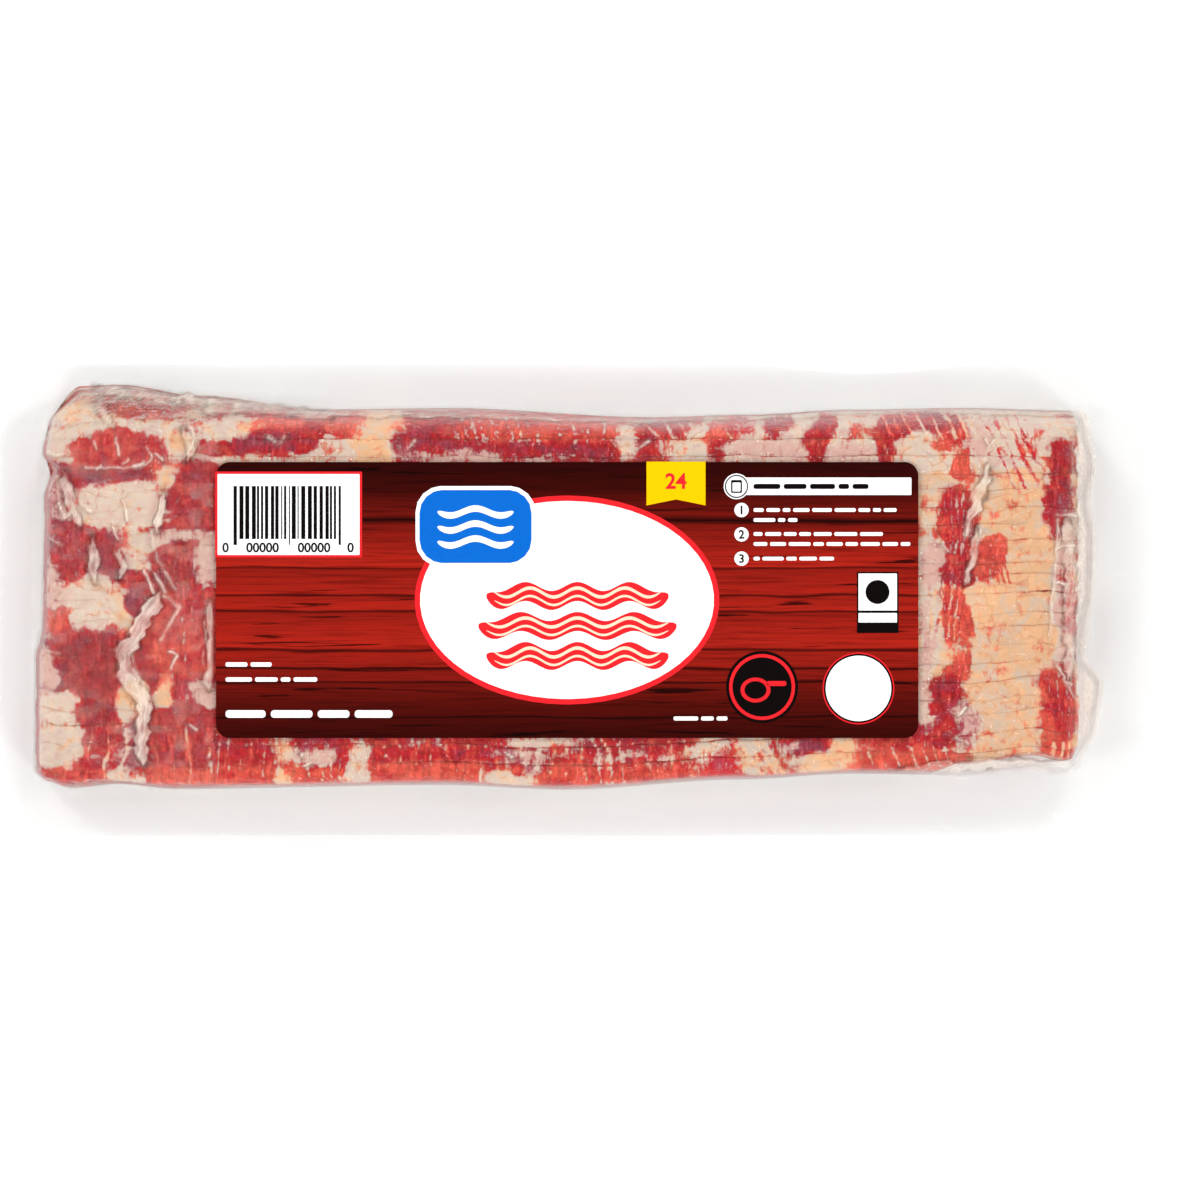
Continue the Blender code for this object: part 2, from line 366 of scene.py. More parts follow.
# Painted light among these: the pale mauve patch at columns 45 to 70 and the mauve one at 128 to 148 are
# painted highlights of the film, the pink fat one at 197 to 218 is painted sheen, and the dark lean one at
# 81 to 94 is painted shade in a hollow.
LEFT_END_PATCHES = (
    ("tan fat", 40, 230, 392, 418), ("brown lean", 94, 172, 398, 424), ("orange fat", 56, 92, 404, 426),
    ("fat", 44, 200, 419, 468), ("bright lean", 74, 168, 432, 470), ("orange fat", 165, 192, 430, 452),
    ("mauve", 75, 157, 469, 487), ("orange fat", 154, 188, 464, 496), ("lean", 170, 225, 466, 532),
    ("pale mauve", 45, 70, 474, 524), ("white fat", 72, 160, 484, 532), ("lean", 52, 89, 521, 568),
    ("dark lean", 81, 94, 546, 582), ("mauve", 95, 119, 536, 588), ("fat", 119, 162, 530, 572),
    ("pink fat", 152, 216, 530, 546), ("dark lean", 157, 202, 541, 592), ("pink fat", 197, 218, 534, 590),
    ("white fat", 54, 120, 578, 628), ("pink fat", 40, 60, 562, 642), ("orange lean", 43, 67, 608, 632),
    ("orange fat", 116, 133, 590, 630), ("mauve", 128, 148, 590, 618), ("bright lean", 146, 225, 590, 680),
    ("dark lean", 56, 118, 638, 722), ("pink fat", 34, 58, 650, 696), ("white fat", 33, 76, 692, 722),
    ("orange lean", 148, 190, 643, 664), ("dark lean", 138, 172, 676, 692),
    ("orange fat", 152, 173, 680, 708), ("pink fat", 192, 218, 682, 708),
    ("orange fat", 117, 147, 682, 730), ("lean", 57, 150, 724, 746),
    ("fat", 34, 84, 722, 770), ("pale mauve", 119, 135, 722, 760), ("lean", 148, 222, 706, 764),
)
# The pale mauve patch at columns 950 to 974 is a painted highlight of the film.
RIGHT_END_PATCHES = (
    ("lean", 1050, 1078, 440, 474), ("dark lean", 1048, 1072, 468, 516), ("lean", 1042, 1058, 494, 536),
    ("pink fat", 1056, 1080, 514, 672), ("pale lean", 1060, 1078, 560, 640),
    ("bright lean", 1044, 1078, 670, 742), ("orange lean", 1036, 1076, 738, 780),
    ("pink fat", 966, 996, 420, 456), ("orange lean", 958, 974, 456, 480),
    ("bright lean", 937, 972, 490, 552), ("lean", 940, 974, 550, 586), ("pink fat", 918, 942, 540, 586),
    ("orange lean", 936, 968, 584, 640), ("orange lean", 978, 1002, 536, 586),
    ("orange fat", 966, 996, 586, 612), ("orange lean", 945, 968, 650, 682),
    ("lean", 932, 966, 676, 728), ("pale mauve", 950, 974, 700, 744), ("pink fat", 916, 934, 590, 730),
)
# Rows of slanting streaks: (kind, left, right, how many, top, bottom, shift from top to bottom, width)
STREAK_ROWS = (
    ("pink fat", 446, 536, 9, 416, 442, 7, 3.0), ("pink fat", 548, 606, 4, 418, 444, 6, 2.4),
    ("fat", 644, 690, 4, 420, 440, 8, 3.2), ("fat", 708, 724, 3, 416, 440, 9, 1.8),
    ("fat", 768, 786, 3, 412, 438, 8, 1.8), ("orange fat", 876, 966, 8, 412, 440, 12, 2.6),
    ("orange fat", 884, 894, 2, 444, 462, 4, 1.8), ("fat", 205, 340, 13, 742, 784, 3, 1.2),
    ("orange fat", 372, 690, 19, 740, 784, 8, 1.5), ("fat", 452, 486, 4, 768, 784, 2, 2.4),
    ("fat", 583, 616, 3, 738, 784, 12, 4.2), ("orange fat", 724, 764, 5, 738, 776, 22, 4.0),
    ("fat", 864, 950, 7, 746, 768, 8, 2.2), ("orange fat", 60, 216, 8, 726, 784, 4, 1.6),
    ("pink fat", 160, 200, 5, 545, 590, -8, 1.4), ("fat", 176, 214, 3, 600, 680, 4, 1.6),
    ("pale lean", 972, 1022, 4, 415, 490, 34, 4.0), ("pink fat", 942, 966, 4, 492, 640, -6, 1.6),
    ("orange fat", 938, 968, 4, 584, 640, -14, 2.2), ("orange lean", 984, 1000, 3, 538, 584, 16, 2.0),
    ("pink fat", 1046, 1074, 3, 674, 738, 8, 1.6), ("orange fat", 1046, 1070, 3, 742, 768, -5, 3.0),
)
# Pixels over which a patch gives way to the next: least and most, and a streak's. A patch is a
# box whose corners are as round as this power.
PATCH_EDGE, STREAK_EDGE, PATCH_ROUNDNESS = (6.0, 24.0), 2.6, 2.6
# How much of its own meat a streak shows, how strongly noise changes the share of lean and the
# tone, and how many pixels the pattern shifts from one slice to the next
STREAK_SHARE, MARBLING, TONE_SWING, SLICE_SHIFT = 0.76, 0.34, 0.22, 2.5
# Share of lean, tone and lightness where no patch lies, along the photo's columns
BASE_LEAN = ((30, 0.75), (430, 0.8), (640, 0.7), (760, 0.25), (1100, 0.05))
BASE_TONE = ((30, 0.45), (640, 0.5), (860, 0.75), (1100, 0.95))
BASE_LIGHT = 0.55
# Layers across a slice's broad face: (share of the height, share of lean)
FACE_LAYERS = (
    (0.0, 0.1), (0.18, 0.15), (0.34, 0.95), (0.52, 0.9), (0.60, 0.1), (0.70, 0.2), (0.8, 1.0), (1.0, 0.9),
)


def add_patch(meat, share, kind):
    """Moves the meat towards a kind by a share: meat + (kind - meat) * share."""
    meat += (np.array(MEAT_KINDS[kind]) - meat) * share[..., None]


def top_meat(x, y, z, number):
    """Lean, tone and lightness seen from above: a base that changes along the pack, then rounded
    boxes and streaks, all bent by noise and shifted a little from one slice to the next."""
    column, row = to_photo(x, y, z)
    column = column + SLICE_SHIFT * math.sin(5.3 * number) * smooth((column - 230) / 60)
    mottle = cloudy(column / 26, row / 14, 30, 4)
    base = eased(BASE_LEAN, column) + 0.45 * mottle, eased(BASE_TONE, column)
    meat = np.stack([*base, BASE_LIGHT + 0.25 * cloudy(column / 18, row / 9, 36)], -1)
    bends = [(column + 12 * cloudy(column / 26 + seed, row / 20, 40, 4),
              row + 8 * cloudy(column / 24, row / 18 + seed, 50, 4)) for seed in (0, 17, 31)]
    edge = PATCH_EDGE[0] + (PATCH_EDGE[1] - PATCH_EDGE[0]) * noise(column / 20, row / 14, 46) ** 1.5
    patches = BACK_EDGE_PATCHES + FRONT_EDGE_PATCHES + LEFT_END_PATCHES + RIGHT_END_PATCHES
    for index, (kind, left, right, top, bottom) in enumerate(patches):
        bent_column, bent_row = bends[index % 3]
        half = (right - left) / 2, (bottom - top) / 2
        across = np.abs(bent_column - (left + right) / 2) / half[0]
        along = np.abs(bent_row - (top + bottom) / 2) / half[1]
        reach = (across**PATCH_ROUNDNESS + along**PATCH_ROUNDNESS) ** (1 / PATCH_ROUNDNESS)
        inside = (1.05 - reach) * min(half)
        add_patch(meat, smooth(inside / edge + 0.5), kind)
    wander = 2 * cloudy(column / 9, row / 22, 60)
    for kind, left, right, count, top, bottom, shift, width in STREAK_ROWS:
        spacing = (right - left) / count
        down = (row - top) / (bottom - top)
        place = column - left - shift * down + wander + spacing * cloudy(column / 40, row / 60, 66)
        nearest = np.clip(np.floor(place / spacing), 0, count - 1)
        thickness = width * (0.6 + 0.8 * noise(nearest * 3.7, row * 0 + top, 70))
        aside = np.abs(place - (nearest + 0.5) * spacing)
        ends = smooth(np.minimum(down, 1 - down) * (bottom - top) / 3 + 0.5)
        add_patch(meat, smooth((thickness / 2 - aside) / STREAK_EDGE + 0.5) * ends * STREAK_SHARE, kind)
    meat[..., 0] += MARBLING * cloudy(column / 11, row / 8 + number, 76, 4)
    meat[..., 1] += TONE_SWING * cloudy(column / 14, row / 9, 73)
    return meat


def face_meat(x, height, number):
    """Lean, tone and lightness on a slice's broad faces and ends: wavy layers along its length."""
    bent = height + 0.07 * cloudy(x / 30, height * 3 + 1.3 * number, 80)
    lean = eased(FACE_LAYERS, np.clip(bent, 0, 1)) + 0.3 * cloudy(x / 9, height * 9, 84)
    tone = 0.55 + 0.25 * cloudy(x / 22, height * 5, 88)
    light = 0.5 + 0.25 * cloudy(x / 14, height * 7, 92)
    return np.stack([lean, tone, light], -1)


# A slice's section, in millimetres: round corners, and how many points each stretch has
CORNER_WIDTH, CORNER_DROP = 0.9, 0.2
# How deep the borders between slices are cut along the photo's columns, as a share: the film
# has pressed the left end nearly flat, apart from the first few slices
BORDER_DEPTH = ((30, 0.15), (215, 0.2), (290, 0.75), (760, 0.9), (930, 0.7), (1100, 0.8))
FRONT_BORDERS, FRONT_DEPTH = 4, 0.75
# Space between two slices, between a slice and the floor, and between a slice and the film
SLICE_GAP, SLICE_FOOT, FILM_GAP = 0.006, 0.35, 0.30
# Edges sharper than this stay sharp. Points along a slice, and how far they crowd at its ends.
SLICE_EDGE = math.radians(38)
SLICE_COLUMNS, END_CROWDING = 500, 0.12
# How far the slices' ends stay inside the film's foot, and how unevenly; how often that is
# worked out; and how far right any slice reaches
LEFT_INSET, RIGHT_INSET, END_JITTER, END_ROUNDS = 1.0, 2.8, 0.9, 3
MEAT_RIGHT = 134.6
# How milky the loose film is beyond the meat's right end
END_MILK = 0.62
# How far the meat stays behind the film's foot at the front: more where only clear film is
# crumpled. Then how far the outer slices' own feet stay in, and how far they lean in above it.
FRONT_MEAT_INSET = ((-170, 0.0), (92, 0.0), (102, 3.0), (170, 3.4))
FOOT_INSET, FRONT_LEAN, BACK_LEAN = 0.3, 1.5, 2.0
# How far the slices' tops lie under the crest, how far each is crowned, and how far the faces
# between two of them stray
TOP_DROP, CROWN, FACE_STRAY = 0.55, 0.25, 0.7
# A slice's width, for the share of it that its round corners take
NOMINAL_WIDTH = 5.2
# Painted shade along a border between two slices: what it adds to the share of lean, the tone
# and the lightness, making the border darker and browner
BORDER_PAINTED_SHADE = (0.3, 0.3, -0.4)
# How far below its edge a slice shows the layers of its broad face, and over what height they
# begin: the last one leans back
FACE_START, LAST_FACE_START, FACE_FADE = 2.5, 17.0, 2.5


def slice_section():
    """(share across, share of height, drop) round a slice's section: its front face from the
    foot up, a corner that drops as (1 - t) ** 2, its top, the same corner and its back face."""
    up = np.linspace(0, 1, 9)[:-1]
    turn = np.linspace(0, 1, 6)
    corner = CORNER_WIDTH / NOMINAL_WIDTH
    top = np.linspace(corner, 1 - corner, 9)[1:-1]
    across = np.concatenate([0 * up, corner * turn, top, 1 - corner * turn[::-1], 1 - 0 * up])
    drop = np.concatenate([0 * up, CORNER_DROP * (1 - turn) ** 2, 0 * top])
    drop = np.concatenate([drop, CORNER_DROP * turn**2, 0 * up])
    height = np.concatenate([up, np.ones(len(turn) * 2 + len(top)), up[::-1]])
    return across, height, drop


def slice_stations():
    """Shares along a slice from 0 to 1, closer together towards both ends."""
    share = np.linspace(0, 1, SLICE_COLUMNS)
    return share - END_CROWDING * 4 * np.sin(2 * np.pi * share) / (2 * np.pi)


def face_wobble(number, x, height):
    """How far the face between two slices strays from an even one, the same for both of them."""
    return FACE_STRAY * cloudy(x / 8 + 3.1 * number, height * 2, 100 + number % 7, 4)


def border_depth(number, x):
    """How deep border `number` is cut at x, as a share, uneven along it."""
    column = to_photo(x, 0 * x, STACK_TOP)[0]
    depth = eased(BORDER_DEPTH, column)
    if number <= FRONT_BORDERS:
        depth = np.maximum(depth, FRONT_DEPTH)
    return np.clip(depth * (0.25 + 1.4 * noise(x / 26, 0 * x + 5.3 * number, 150)), 0, 1.2)


def slice_points(number, relief):
    """Points (stations, around, 3) of slice `number`, counted from 1 at the front, its height
    shares and its corners' drop. The section runs between its two borders, is lifted to the
    crest, and never comes nearer than FILM_GAP to the film. Its ends follow the film's foot at
    each point's own y, which depends on x in turn, so both are worked out a few times over."""
    across, height, drop = slice_section()
    rng = np.random.default_rng(500 + number)
    start, end = rng.uniform(0, END_JITTER, 2)
    share = slice_stations()[:, None] + 0 * across
    height = height + 0 * share
    y = -50 + 100 * (number - 0.5) / SLICE_COUNT + 0 * share
    for _ in range(END_ROUNDS):
        left = eased(LEFT_FOOT, y) + LEFT_INSET + start
        right = np.minimum(eased(RIGHT_FOOT, y) - RIGHT_INSET, MEAT_RIGHT) - end
        x = left + (right - left) * share
        if number == 1:
            front = eased(FRONT_FOOT, x) + eased(FRONT_MEAT_INSET, x)
            front = front + FOOT_INSET + FRONT_LEAN * height**3
        else:
            front = border_line(number - 1, x, height) + face_wobble(number - 1, x, height)
        if number == SLICE_COUNT:
            back = eased(BACK_FOOT, x) - FOOT_INSET - BACK_LEAN * height**3
        else:
            back = border_line(number, x, height) + face_wobble(number, x, height)
        front, back = front + SLICE_GAP / 2, back - SLICE_GAP / 2
        y = front + (back - front) * across
    bumps = cloudy(x / 7, y / 3, 120 + number) - 0.6 * noise(x / 40, 0 * y + number, 140)
    drop = drop * np.where(across < 0.5, border_depth(number - 1, x), border_depth(number, x))
    crown = CROWN * (1 - (2 * across - 1) ** 2) * eased(BORDER_DEPTH, to_photo(x, y, STACK_TOP)[0])
    top = crest_height(x, y) - TOP_DROP + relief * bumps + crown - drop
    z = SLICE_FOOT + (top - SLICE_FOOT) * height
    z = np.minimum(z, film_form(x, y) - FILM_GAP)
    return np.stack([x, y, np.maximum(z, SLICE_FOOT / 2)], -1), height, drop


def make_slice(number, relief, material):
    """One slice: its section carried along the pack, with a flat cap at each end."""
    points, height, drop = slice_points(number, relief)
    stations, around = points.shape[:2]
    x, y, z = np.moveaxis(points, -1, 0)
    depth = crest_height(x, y) - z
    from_top = top_meat(x, y, z, number)
    on_face = face_meat(x, height, number)
    face_start = LAST_FACE_START if number == SLICE_COUNT else FACE_START
    share = smooth((depth - face_start) / FACE_FADE)[..., None]
    meat = from_top + (on_face - from_top) * share
    # Painted shade along the borders between slices: darker and browner, uneven along each, none on the
    # broad faces
    painted_border_shade = smooth((drop / CORNER_DROP - 0.3) / 0.65) * (1 - share[..., 0])
    painted_border_shade = painted_border_shade * (0.1 + 1.1 * noise(x / 7, 0 * x + number, 148))
    meat += painted_border_shade[..., None] * np.array(BORDER_PAINTED_SHADE)
    caps = [np.arange(around)[None], np.arange(around)[None, ::-1] + (stations - 1) * around]
    faces = [grid_faces(stations, around, around=True)[:, ::-1]] + caps
    fields = {"meat": np.clip(meat, 0, 1).reshape(-1, 3)}
    points = points.reshape(-1, 3)
    return add_mesh(f"slice_{number:02d}", points, faces, material, fields, SLICE_EDGE)


def meat_material(settings):
    """Raw cured pork belly, cut across its layers. Wet under the film, so it shines softly. The
    attribute says where lean, fat and their tones are; it also carries painted shade along the
    borders between slices, a few patches that paint the film's highlights and sheen, and one that
    paints the shade in a hollow. Noise breaks their edges into fibres about 0.9 mm thick, which
    run across the pack, and adds marbling, and fine brown seams part the lobes of the fat, 7 mm
    across."""
    material, tree, surface = new_material("cured_pork_belly")
    where = add(tree, "TexCoord").outputs["Object"]
    attribute = add(tree, "Attribute", attribute_name="meat").outputs["Color"]
    lean, tone, light = add(tree, "SeparateColor", [attribute]).outputs
    patterns = []
    for sizes, detail, swirl in (((0.9, 5, 5), 3, 0.4), ((0.9,) * 3, 4, 0), ((3.6,) * 3, 3, 0.6)):
        place = add(tree, "Mapping", {"Vector": where, "Scale": unit_sizes(*sizes)})
        inputs = {"Vector": place, "Scale": 1, "Detail": detail, "Distortion": swirl}
        patterns.append(add(tree, "TexNoise", inputs))
    fibre, grain, mottle = patterns
    edge = add_noises(tree, lean, ((grain, 0.7), (fibre, 0.9), (mottle, 0.9)))
    is_lean = add(tree, "MapRange", [edge, 0.14, 0.62, 0, 1], interpolation_type="SMOOTHSTEP")
    tone = add_noises(tree, tone, [(mottle, 1.2)])
    soft = add_noises(tree, light, [(mottle, 1.1)])
    light = add_noises(tree, light, ((grain, 0.9), (fibre, 1.1)))

    lean_stops = (0.1, linear("#8E3444")), (0.5, settings.lean_colour), (0.95, linear("#C9503E"))
    lean_colour = add(tree, "ValToRGB", [tone], lean_stops)
    marbling = add(tree, "MapRange", [fibre, 0.60, 0.76, 0, 0.22], interpolation_type="SMOOTHSTEP")
    marbled = {0: marbling, 6: lean_colour, 7: (*linear("#DC8E7C"), 1)}
    lean_colour = add(tree, "Mix", marbled, data_type="RGBA")

    fat_stops = (0.1, linear("#DBAFA2")), (0.5, settings.fat_colour), (0.95, linear("#E9B68A"))
    fat_colour = add(tree, "ValToRGB", [tone], fat_stops)
    at_lobe = add(tree, "Mapping", {"Vector": where, "Scale": unit_sizes(7, 5, 7)})
    bend = add(tree, "TexNoise", {"Vector": place, "Scale": 0.6, "Detail": 3}).outputs["Color"]
    at_lobe = add(tree, "VectorMath", [at_lobe, bend])
    lobes = add(tree, "TexVoronoi", {"Vector": at_lobe, "Scale": 1}, feature="DISTANCE_TO_EDGE")
    seam = add(tree, "MapRange", [lobes, 0, 0.07, 0.55, 0], interpolation_type="SMOOTHSTEP")
    broken = add(tree, "MapRange", [mottle, 0.42, 0.62, 0, 1], interpolation_type="SMOOTHSTEP")
    seam = add(tree, "Math", [seam, broken], operation="MULTIPLY")
    seamed = {0: seam, 6: fat_colour, 7: (*linear("#C48A68"), 1)}
    fat_colour = add(tree, "Mix", seamed, data_type="RGBA")

    colour = add(tree, "Mix", {0: is_lean, 6: fat_colour, 7: lean_colour}, data_type="RGBA")
    lean_light = add(tree, "MapRange", [light, 0, 1, 0.45, 1.35], interpolation_type="SMOOTHSTEP")
    fat_light = add(tree, "MapRange", [soft, 0, 1, 0.73, 0.95], interpolation_type="SMOOTHSTEP")
    share = add(tree, "Mix", {0: is_lean, 2: fat_light, 3: lean_light}, data_type="FLOAT")
    grey = add(tree, "CombineColor", [share, share, share])
    shaded = {0: 1.0, 6: colour, 7: grey}
    colour = add(tree, "Mix", shaded, data_type="RGBA", blend_type="MULTIPLY")

    relief = add(tree, "Math", [fibre, is_lean], operation="MULTIPLY")
    relief = add(tree, "Math", [grain, 0.6, relief], operation="MULTIPLY_ADD")
    relief = add(tree, "Math", [seam, -0.5, relief], operation="MULTIPLY_ADD")
    bump = add(tree, "Bump", {"Height": relief, "Strength": 0.6, "Distance": 0.3 * MM})
    roughness = add(tree, "MapRange", [grain, 0.3, 0.7, 0.28, 0.5])
    inputs = {"Base Color": colour, "Roughness": roughness, "Normal": bump, "IOR": 1.4}
    inputs["Specular IOR Level"] = 0.2
    tree.links.new(add(tree, "BsdfPrincipled", inputs).outputs["BSDF"], surface)
    return material


# The film

# Creases in the film: (points in photo pixels, height, half width and haze, which is partly the
# film's own milkiness and partly a painted highlight)
CREASES = (
    (((163, 594), (178, 606), (160, 640)), 0.8, 0.7, 0.6),
    (((128, 645), (134, 668), (144, 690)), 0.7, 0.6, 0.5),
    (((151, 532), (158, 560), (175, 590)), 0.7, 0.6, 0.5),
    (((88, 545), (92, 562), (94, 582)), 0.6, 0.5, 0.5),
    (((104, 425), (99, 400), (84, 384)), 0.8, 0.7, 0.4),
    (((74, 391), (120, 394), (190, 396), (290, 409), (420, 415)), 0.9, 0.6, 0.6),
    (((64, 398), (110, 400), (200, 404), (300, 413)), 0.7, 0.6, 0.45),
    (((60, 422), (120, 420), (200, 410), (330, 416)), 0.5, 0.6, 0.35),
    (((410, 411), (560, 417), (640, 420), (760, 415), (900, 409), (1078, 412)), 0.7, 0.5, 0.5),
    (((84, 466), (120, 470), (150, 460)), 0.5, 0.5, 0.6),
    (((986, 468), (976, 500), (966, 534)), 0.9, 0.6, 0.85),
    (((980, 528), (974, 556), (966, 580)), 0.7, 0.5, 0.7),
    (((1058, 520), (1055, 560), (1050, 640)), 0.7, 0.4, 0.8),
    (((1062, 676), (1072, 692), (1078, 700)), 0.6, 0.4, 0.7),
    (((1077, 426), (1079, 520), (1078, 640), (1078, 760)), 0.9, 0.8, 0.35),
    (((100, 392), (180, 394), (250, 402), (330, 414)), 0.8, 0.5, 0.95),
    (((150, 399), (230, 403), (300, 411)), 0.6, 0.5, 0.9),
    (((300, 411), (420, 414), (560, 418)), 0.6, 0.5, 0.8),
    (((1085, 425), (1086, 540), (1087, 660), (1084, 752)), 0.8, 0.7, 0.4),
    (((1072, 440), (1074, 560), (1072, 690)), 0.5, 0.6, 0.3),
    (((962, 766), (1000, 762), (1050, 766), (1078, 772)), 0.8, 0.7, 0.45),
    (((48, 452), (56, 456), (66, 455)), 0.6, 0.5, 0.5),
    (((44, 536), (52, 540), (60, 546)), 0.6, 0.5, 0.5),
    (((38, 640), (48, 650), (58, 652)), 0.6, 0.5, 0.4),
)
# Short nicks in the film, raised a little and painted milky white as glints, each from one photo
# pixel to another, with their size as above
GLINT_NICKS = (
    (93, 439, 98, 449), (117, 437, 119, 453), (146, 447, 151, 458), (154, 455, 162, 461),
    (123, 464, 130, 460), (134, 465, 142, 460), (96, 469, 102, 466), (189, 426, 194, 437),
    (194, 437, 186, 456), (58, 504, 64, 521), (64, 521, 69, 514), (78, 501, 89, 510),
    (121, 501, 128, 521), (113, 526, 119, 540), (145, 571, 154, 591), (155, 574, 165, 591),
    (188, 725, 195, 728), (299, 750, 303, 758), (304, 765, 312, 762), (167, 652, 176, 655),
    (176, 655, 172, 668), (1056, 515, 1076, 515), (1057, 548, 1076, 546), (1057, 584, 1074, 582),
    (986, 438, 991, 446), (994, 440, 988, 448), (942, 546, 948, 553), (958, 716, 966, 708),
    (956, 738, 968, 742), (1057, 663, 1065, 682), (1065, 682, 1073, 685), (268, 436, 274, 442),
    (278, 443, 284, 437), (408, 448, 413, 441), (505, 752, 512, 757), (640, 447, 646, 441),
)
GLINT_NICK_SIZE = (0.6, 0.4, 1.0)
# Wider folds, where the film lies double: (points in photo pixels, height, half width in pixels
# and haze). A fold's haze is partly the double film's own milkiness and partly a painted
# highlight on its rim and pleats.
FOLDS = (
    (((160, 590), (148, 612), (137, 634), (124, 654), (126, 674), (137, 690), (144, 706), (142, 724),
      (141, 744), (145, 766)), 0.7, 7.5, 0.66),
    (((163, 492), (161, 512), (157, 532)), 0.6, 3.6, 0.7),
    (((92, 536), (93, 560), (96, 584)), 0.5, 4.2, 0.55),
    (((114, 552), (124, 566), (119, 578)), 0.5, 3.2, 0.6),
    (((64, 472), (68, 498), (80, 526)), 0.5, 4.4, 0.55),
    (((184, 428), (190, 446), (187, 462)), 0.5, 3.4, 0.5),
    (((208, 600), (212, 640), (208, 690)), 0.5, 4.0, 0.5),
    (((986, 472), (977, 500), (968, 524)), 0.6, 4.6, 0.75),
    (((974, 530), (974, 552), (966, 584)), 0.5, 2.6, 0.55),
    (((1067, 520), (1071, 600), (1068, 680)), 0.4, 5.0, 0.4),
    (((1081, 428), (1085, 540), (1083, 668)), 0.6, 6.0, 0.6),
    (((1093, 440), (1095, 560), (1091, 668)), 0.5, 3.0, 0.5),
    (((900, 771), (960, 767), (1010, 765), (1078, 768)), 0.6, 5.0, 0.32),
    (((1090, 676), (1097, 706), (1090, 748)), 0.6, 5.0, 0.35),
    (((88, 387), (140, 391), (220, 402), (320, 413)), 0.6, 3.0, 0.65),
    (((94, 398), (104, 414), (113, 426)), 0.4, 3.0, 0.55),
    (((200, 408), (260, 410), (330, 417)), 0.4, 2.4, 0.5),
)
# Pixels over which a fold rises
FOLD_FLANK = 2.2
# Painted shade: how dark the meat looks beside a crease and under a fold's foot
CREASE_SHADE, FOLD_SHADE = 0.5, 0.5
# Painted sheen over the left end, as soft milky patches: their haze, and the photo columns and
# rows they lie between
PAINTED_SHEEN_HAZE, PAINTED_SHEEN_COLUMNS, PAINTED_SHEEN_ROWS = 0.1, (38.0, 225.0), (396.0, 776.0)
# Where the film is crumpled: (left, right, top, bottom in photo pixels, height)
CRUMPLES = (
    (20, 220, 390, 800, 0.55), (1064, 1104, 416, 780, 0.9), (940, 1104, 752, 782, 0.8),
    (60, 320, 382, 416, 0.9), (320, 1080, 404, 420, 0.45), (1085, 1108, 660, 745, 1.2),
)
# How far the lines of creases and folds stray, and over what length, in photo pixels
CREASE_BEND, CREASE_BEND_LENGTH = 3.5, 13
# How strongly the film wrinkles where it is tight and where it is crumpled
TIGHT_CRINKLE, CRUMPLED_CRINKLE = 0.3, 0.85
# The sag between two slices, in millimetres, its half width, and the film's small ripples
GROOVE_SAG, GROOVE_WIDTH, RIPPLE = 0.2, 0.8, 0.16
# The film's grid: how many columns and rows climb its walls, and how wide its cells are in
# millimetres at both ends, in the middle and across
WALL_COLUMNS, WALL_ROWS = 22, 18
END_CELL, MIDDLE_CELL, ROW_CELL = 0.38, 0.85, 0.44
# Where the film is cut into three pieces, so that none is too heavy: inside the label's ends
FILM_CUTS = (-104.0, 85.0)
# How milky the film is on its steep walls and round the pack
WALL_HAZE, FLANGE_HAZE = 0.02, 0.02
# How much of the haze and painted highlights and of the loose film's milk a steep wall loses
WALL_CLARITY = 0.6
# From how far outside the label the film begins to lie flat, and how high over the crest it lies
FLAT_MARGIN, FLAT_RISE = 1.5, 0.12
# How far in from the film's foot its walls reach, and how many rows or columns its border has
END_REACH, FRONT_REACH = 9.0, 5.5
LEFT_BORDER, RIGHT_BORDER, LONG_BORDER, SLOPE_ROWS = 12, 24, 10, 18
# How much the film mirrors where it is seen straight on
FILM_SHINE = 0.034
# What the film's material reads from each of its points
FILM_FIELDS = ("haze", "crinkle", "shade")


def line_distance(column, row, line):
    """Distance in pixels from a line of photo points, over 0 on one side and below 0 on the other."""
    nearest, side = np.full_like(column, np.inf), 0 * column
    for (x1, y1), (x2, y2) in zip(line[:-1], line[1:]):
        length = np.hypot(x2 - x1, y2 - y1)
        along = ((column - x1) * (x2 - x1) + (row - y1) * (y2 - y1)) / length**2
        along = np.clip(along, 0, 1)
        away = np.hypot(column - x1 - along * (x2 - x1), row - y1 - along * (y2 - y1))
        turn = np.sign((x2 - x1) * (row - y1) - (y2 - y1) * (column - x1))
        side = np.where(away < nearest, turn, side)
        nearest = np.minimum(nearest, away)
    return nearest * side


def box_inset(column, row, left, right, top, bottom):
    """Distance inside a box of photo pixels, below 0 outside it."""
    return np.minimum.reduce([column - left, right - column, row - top, bottom - row])


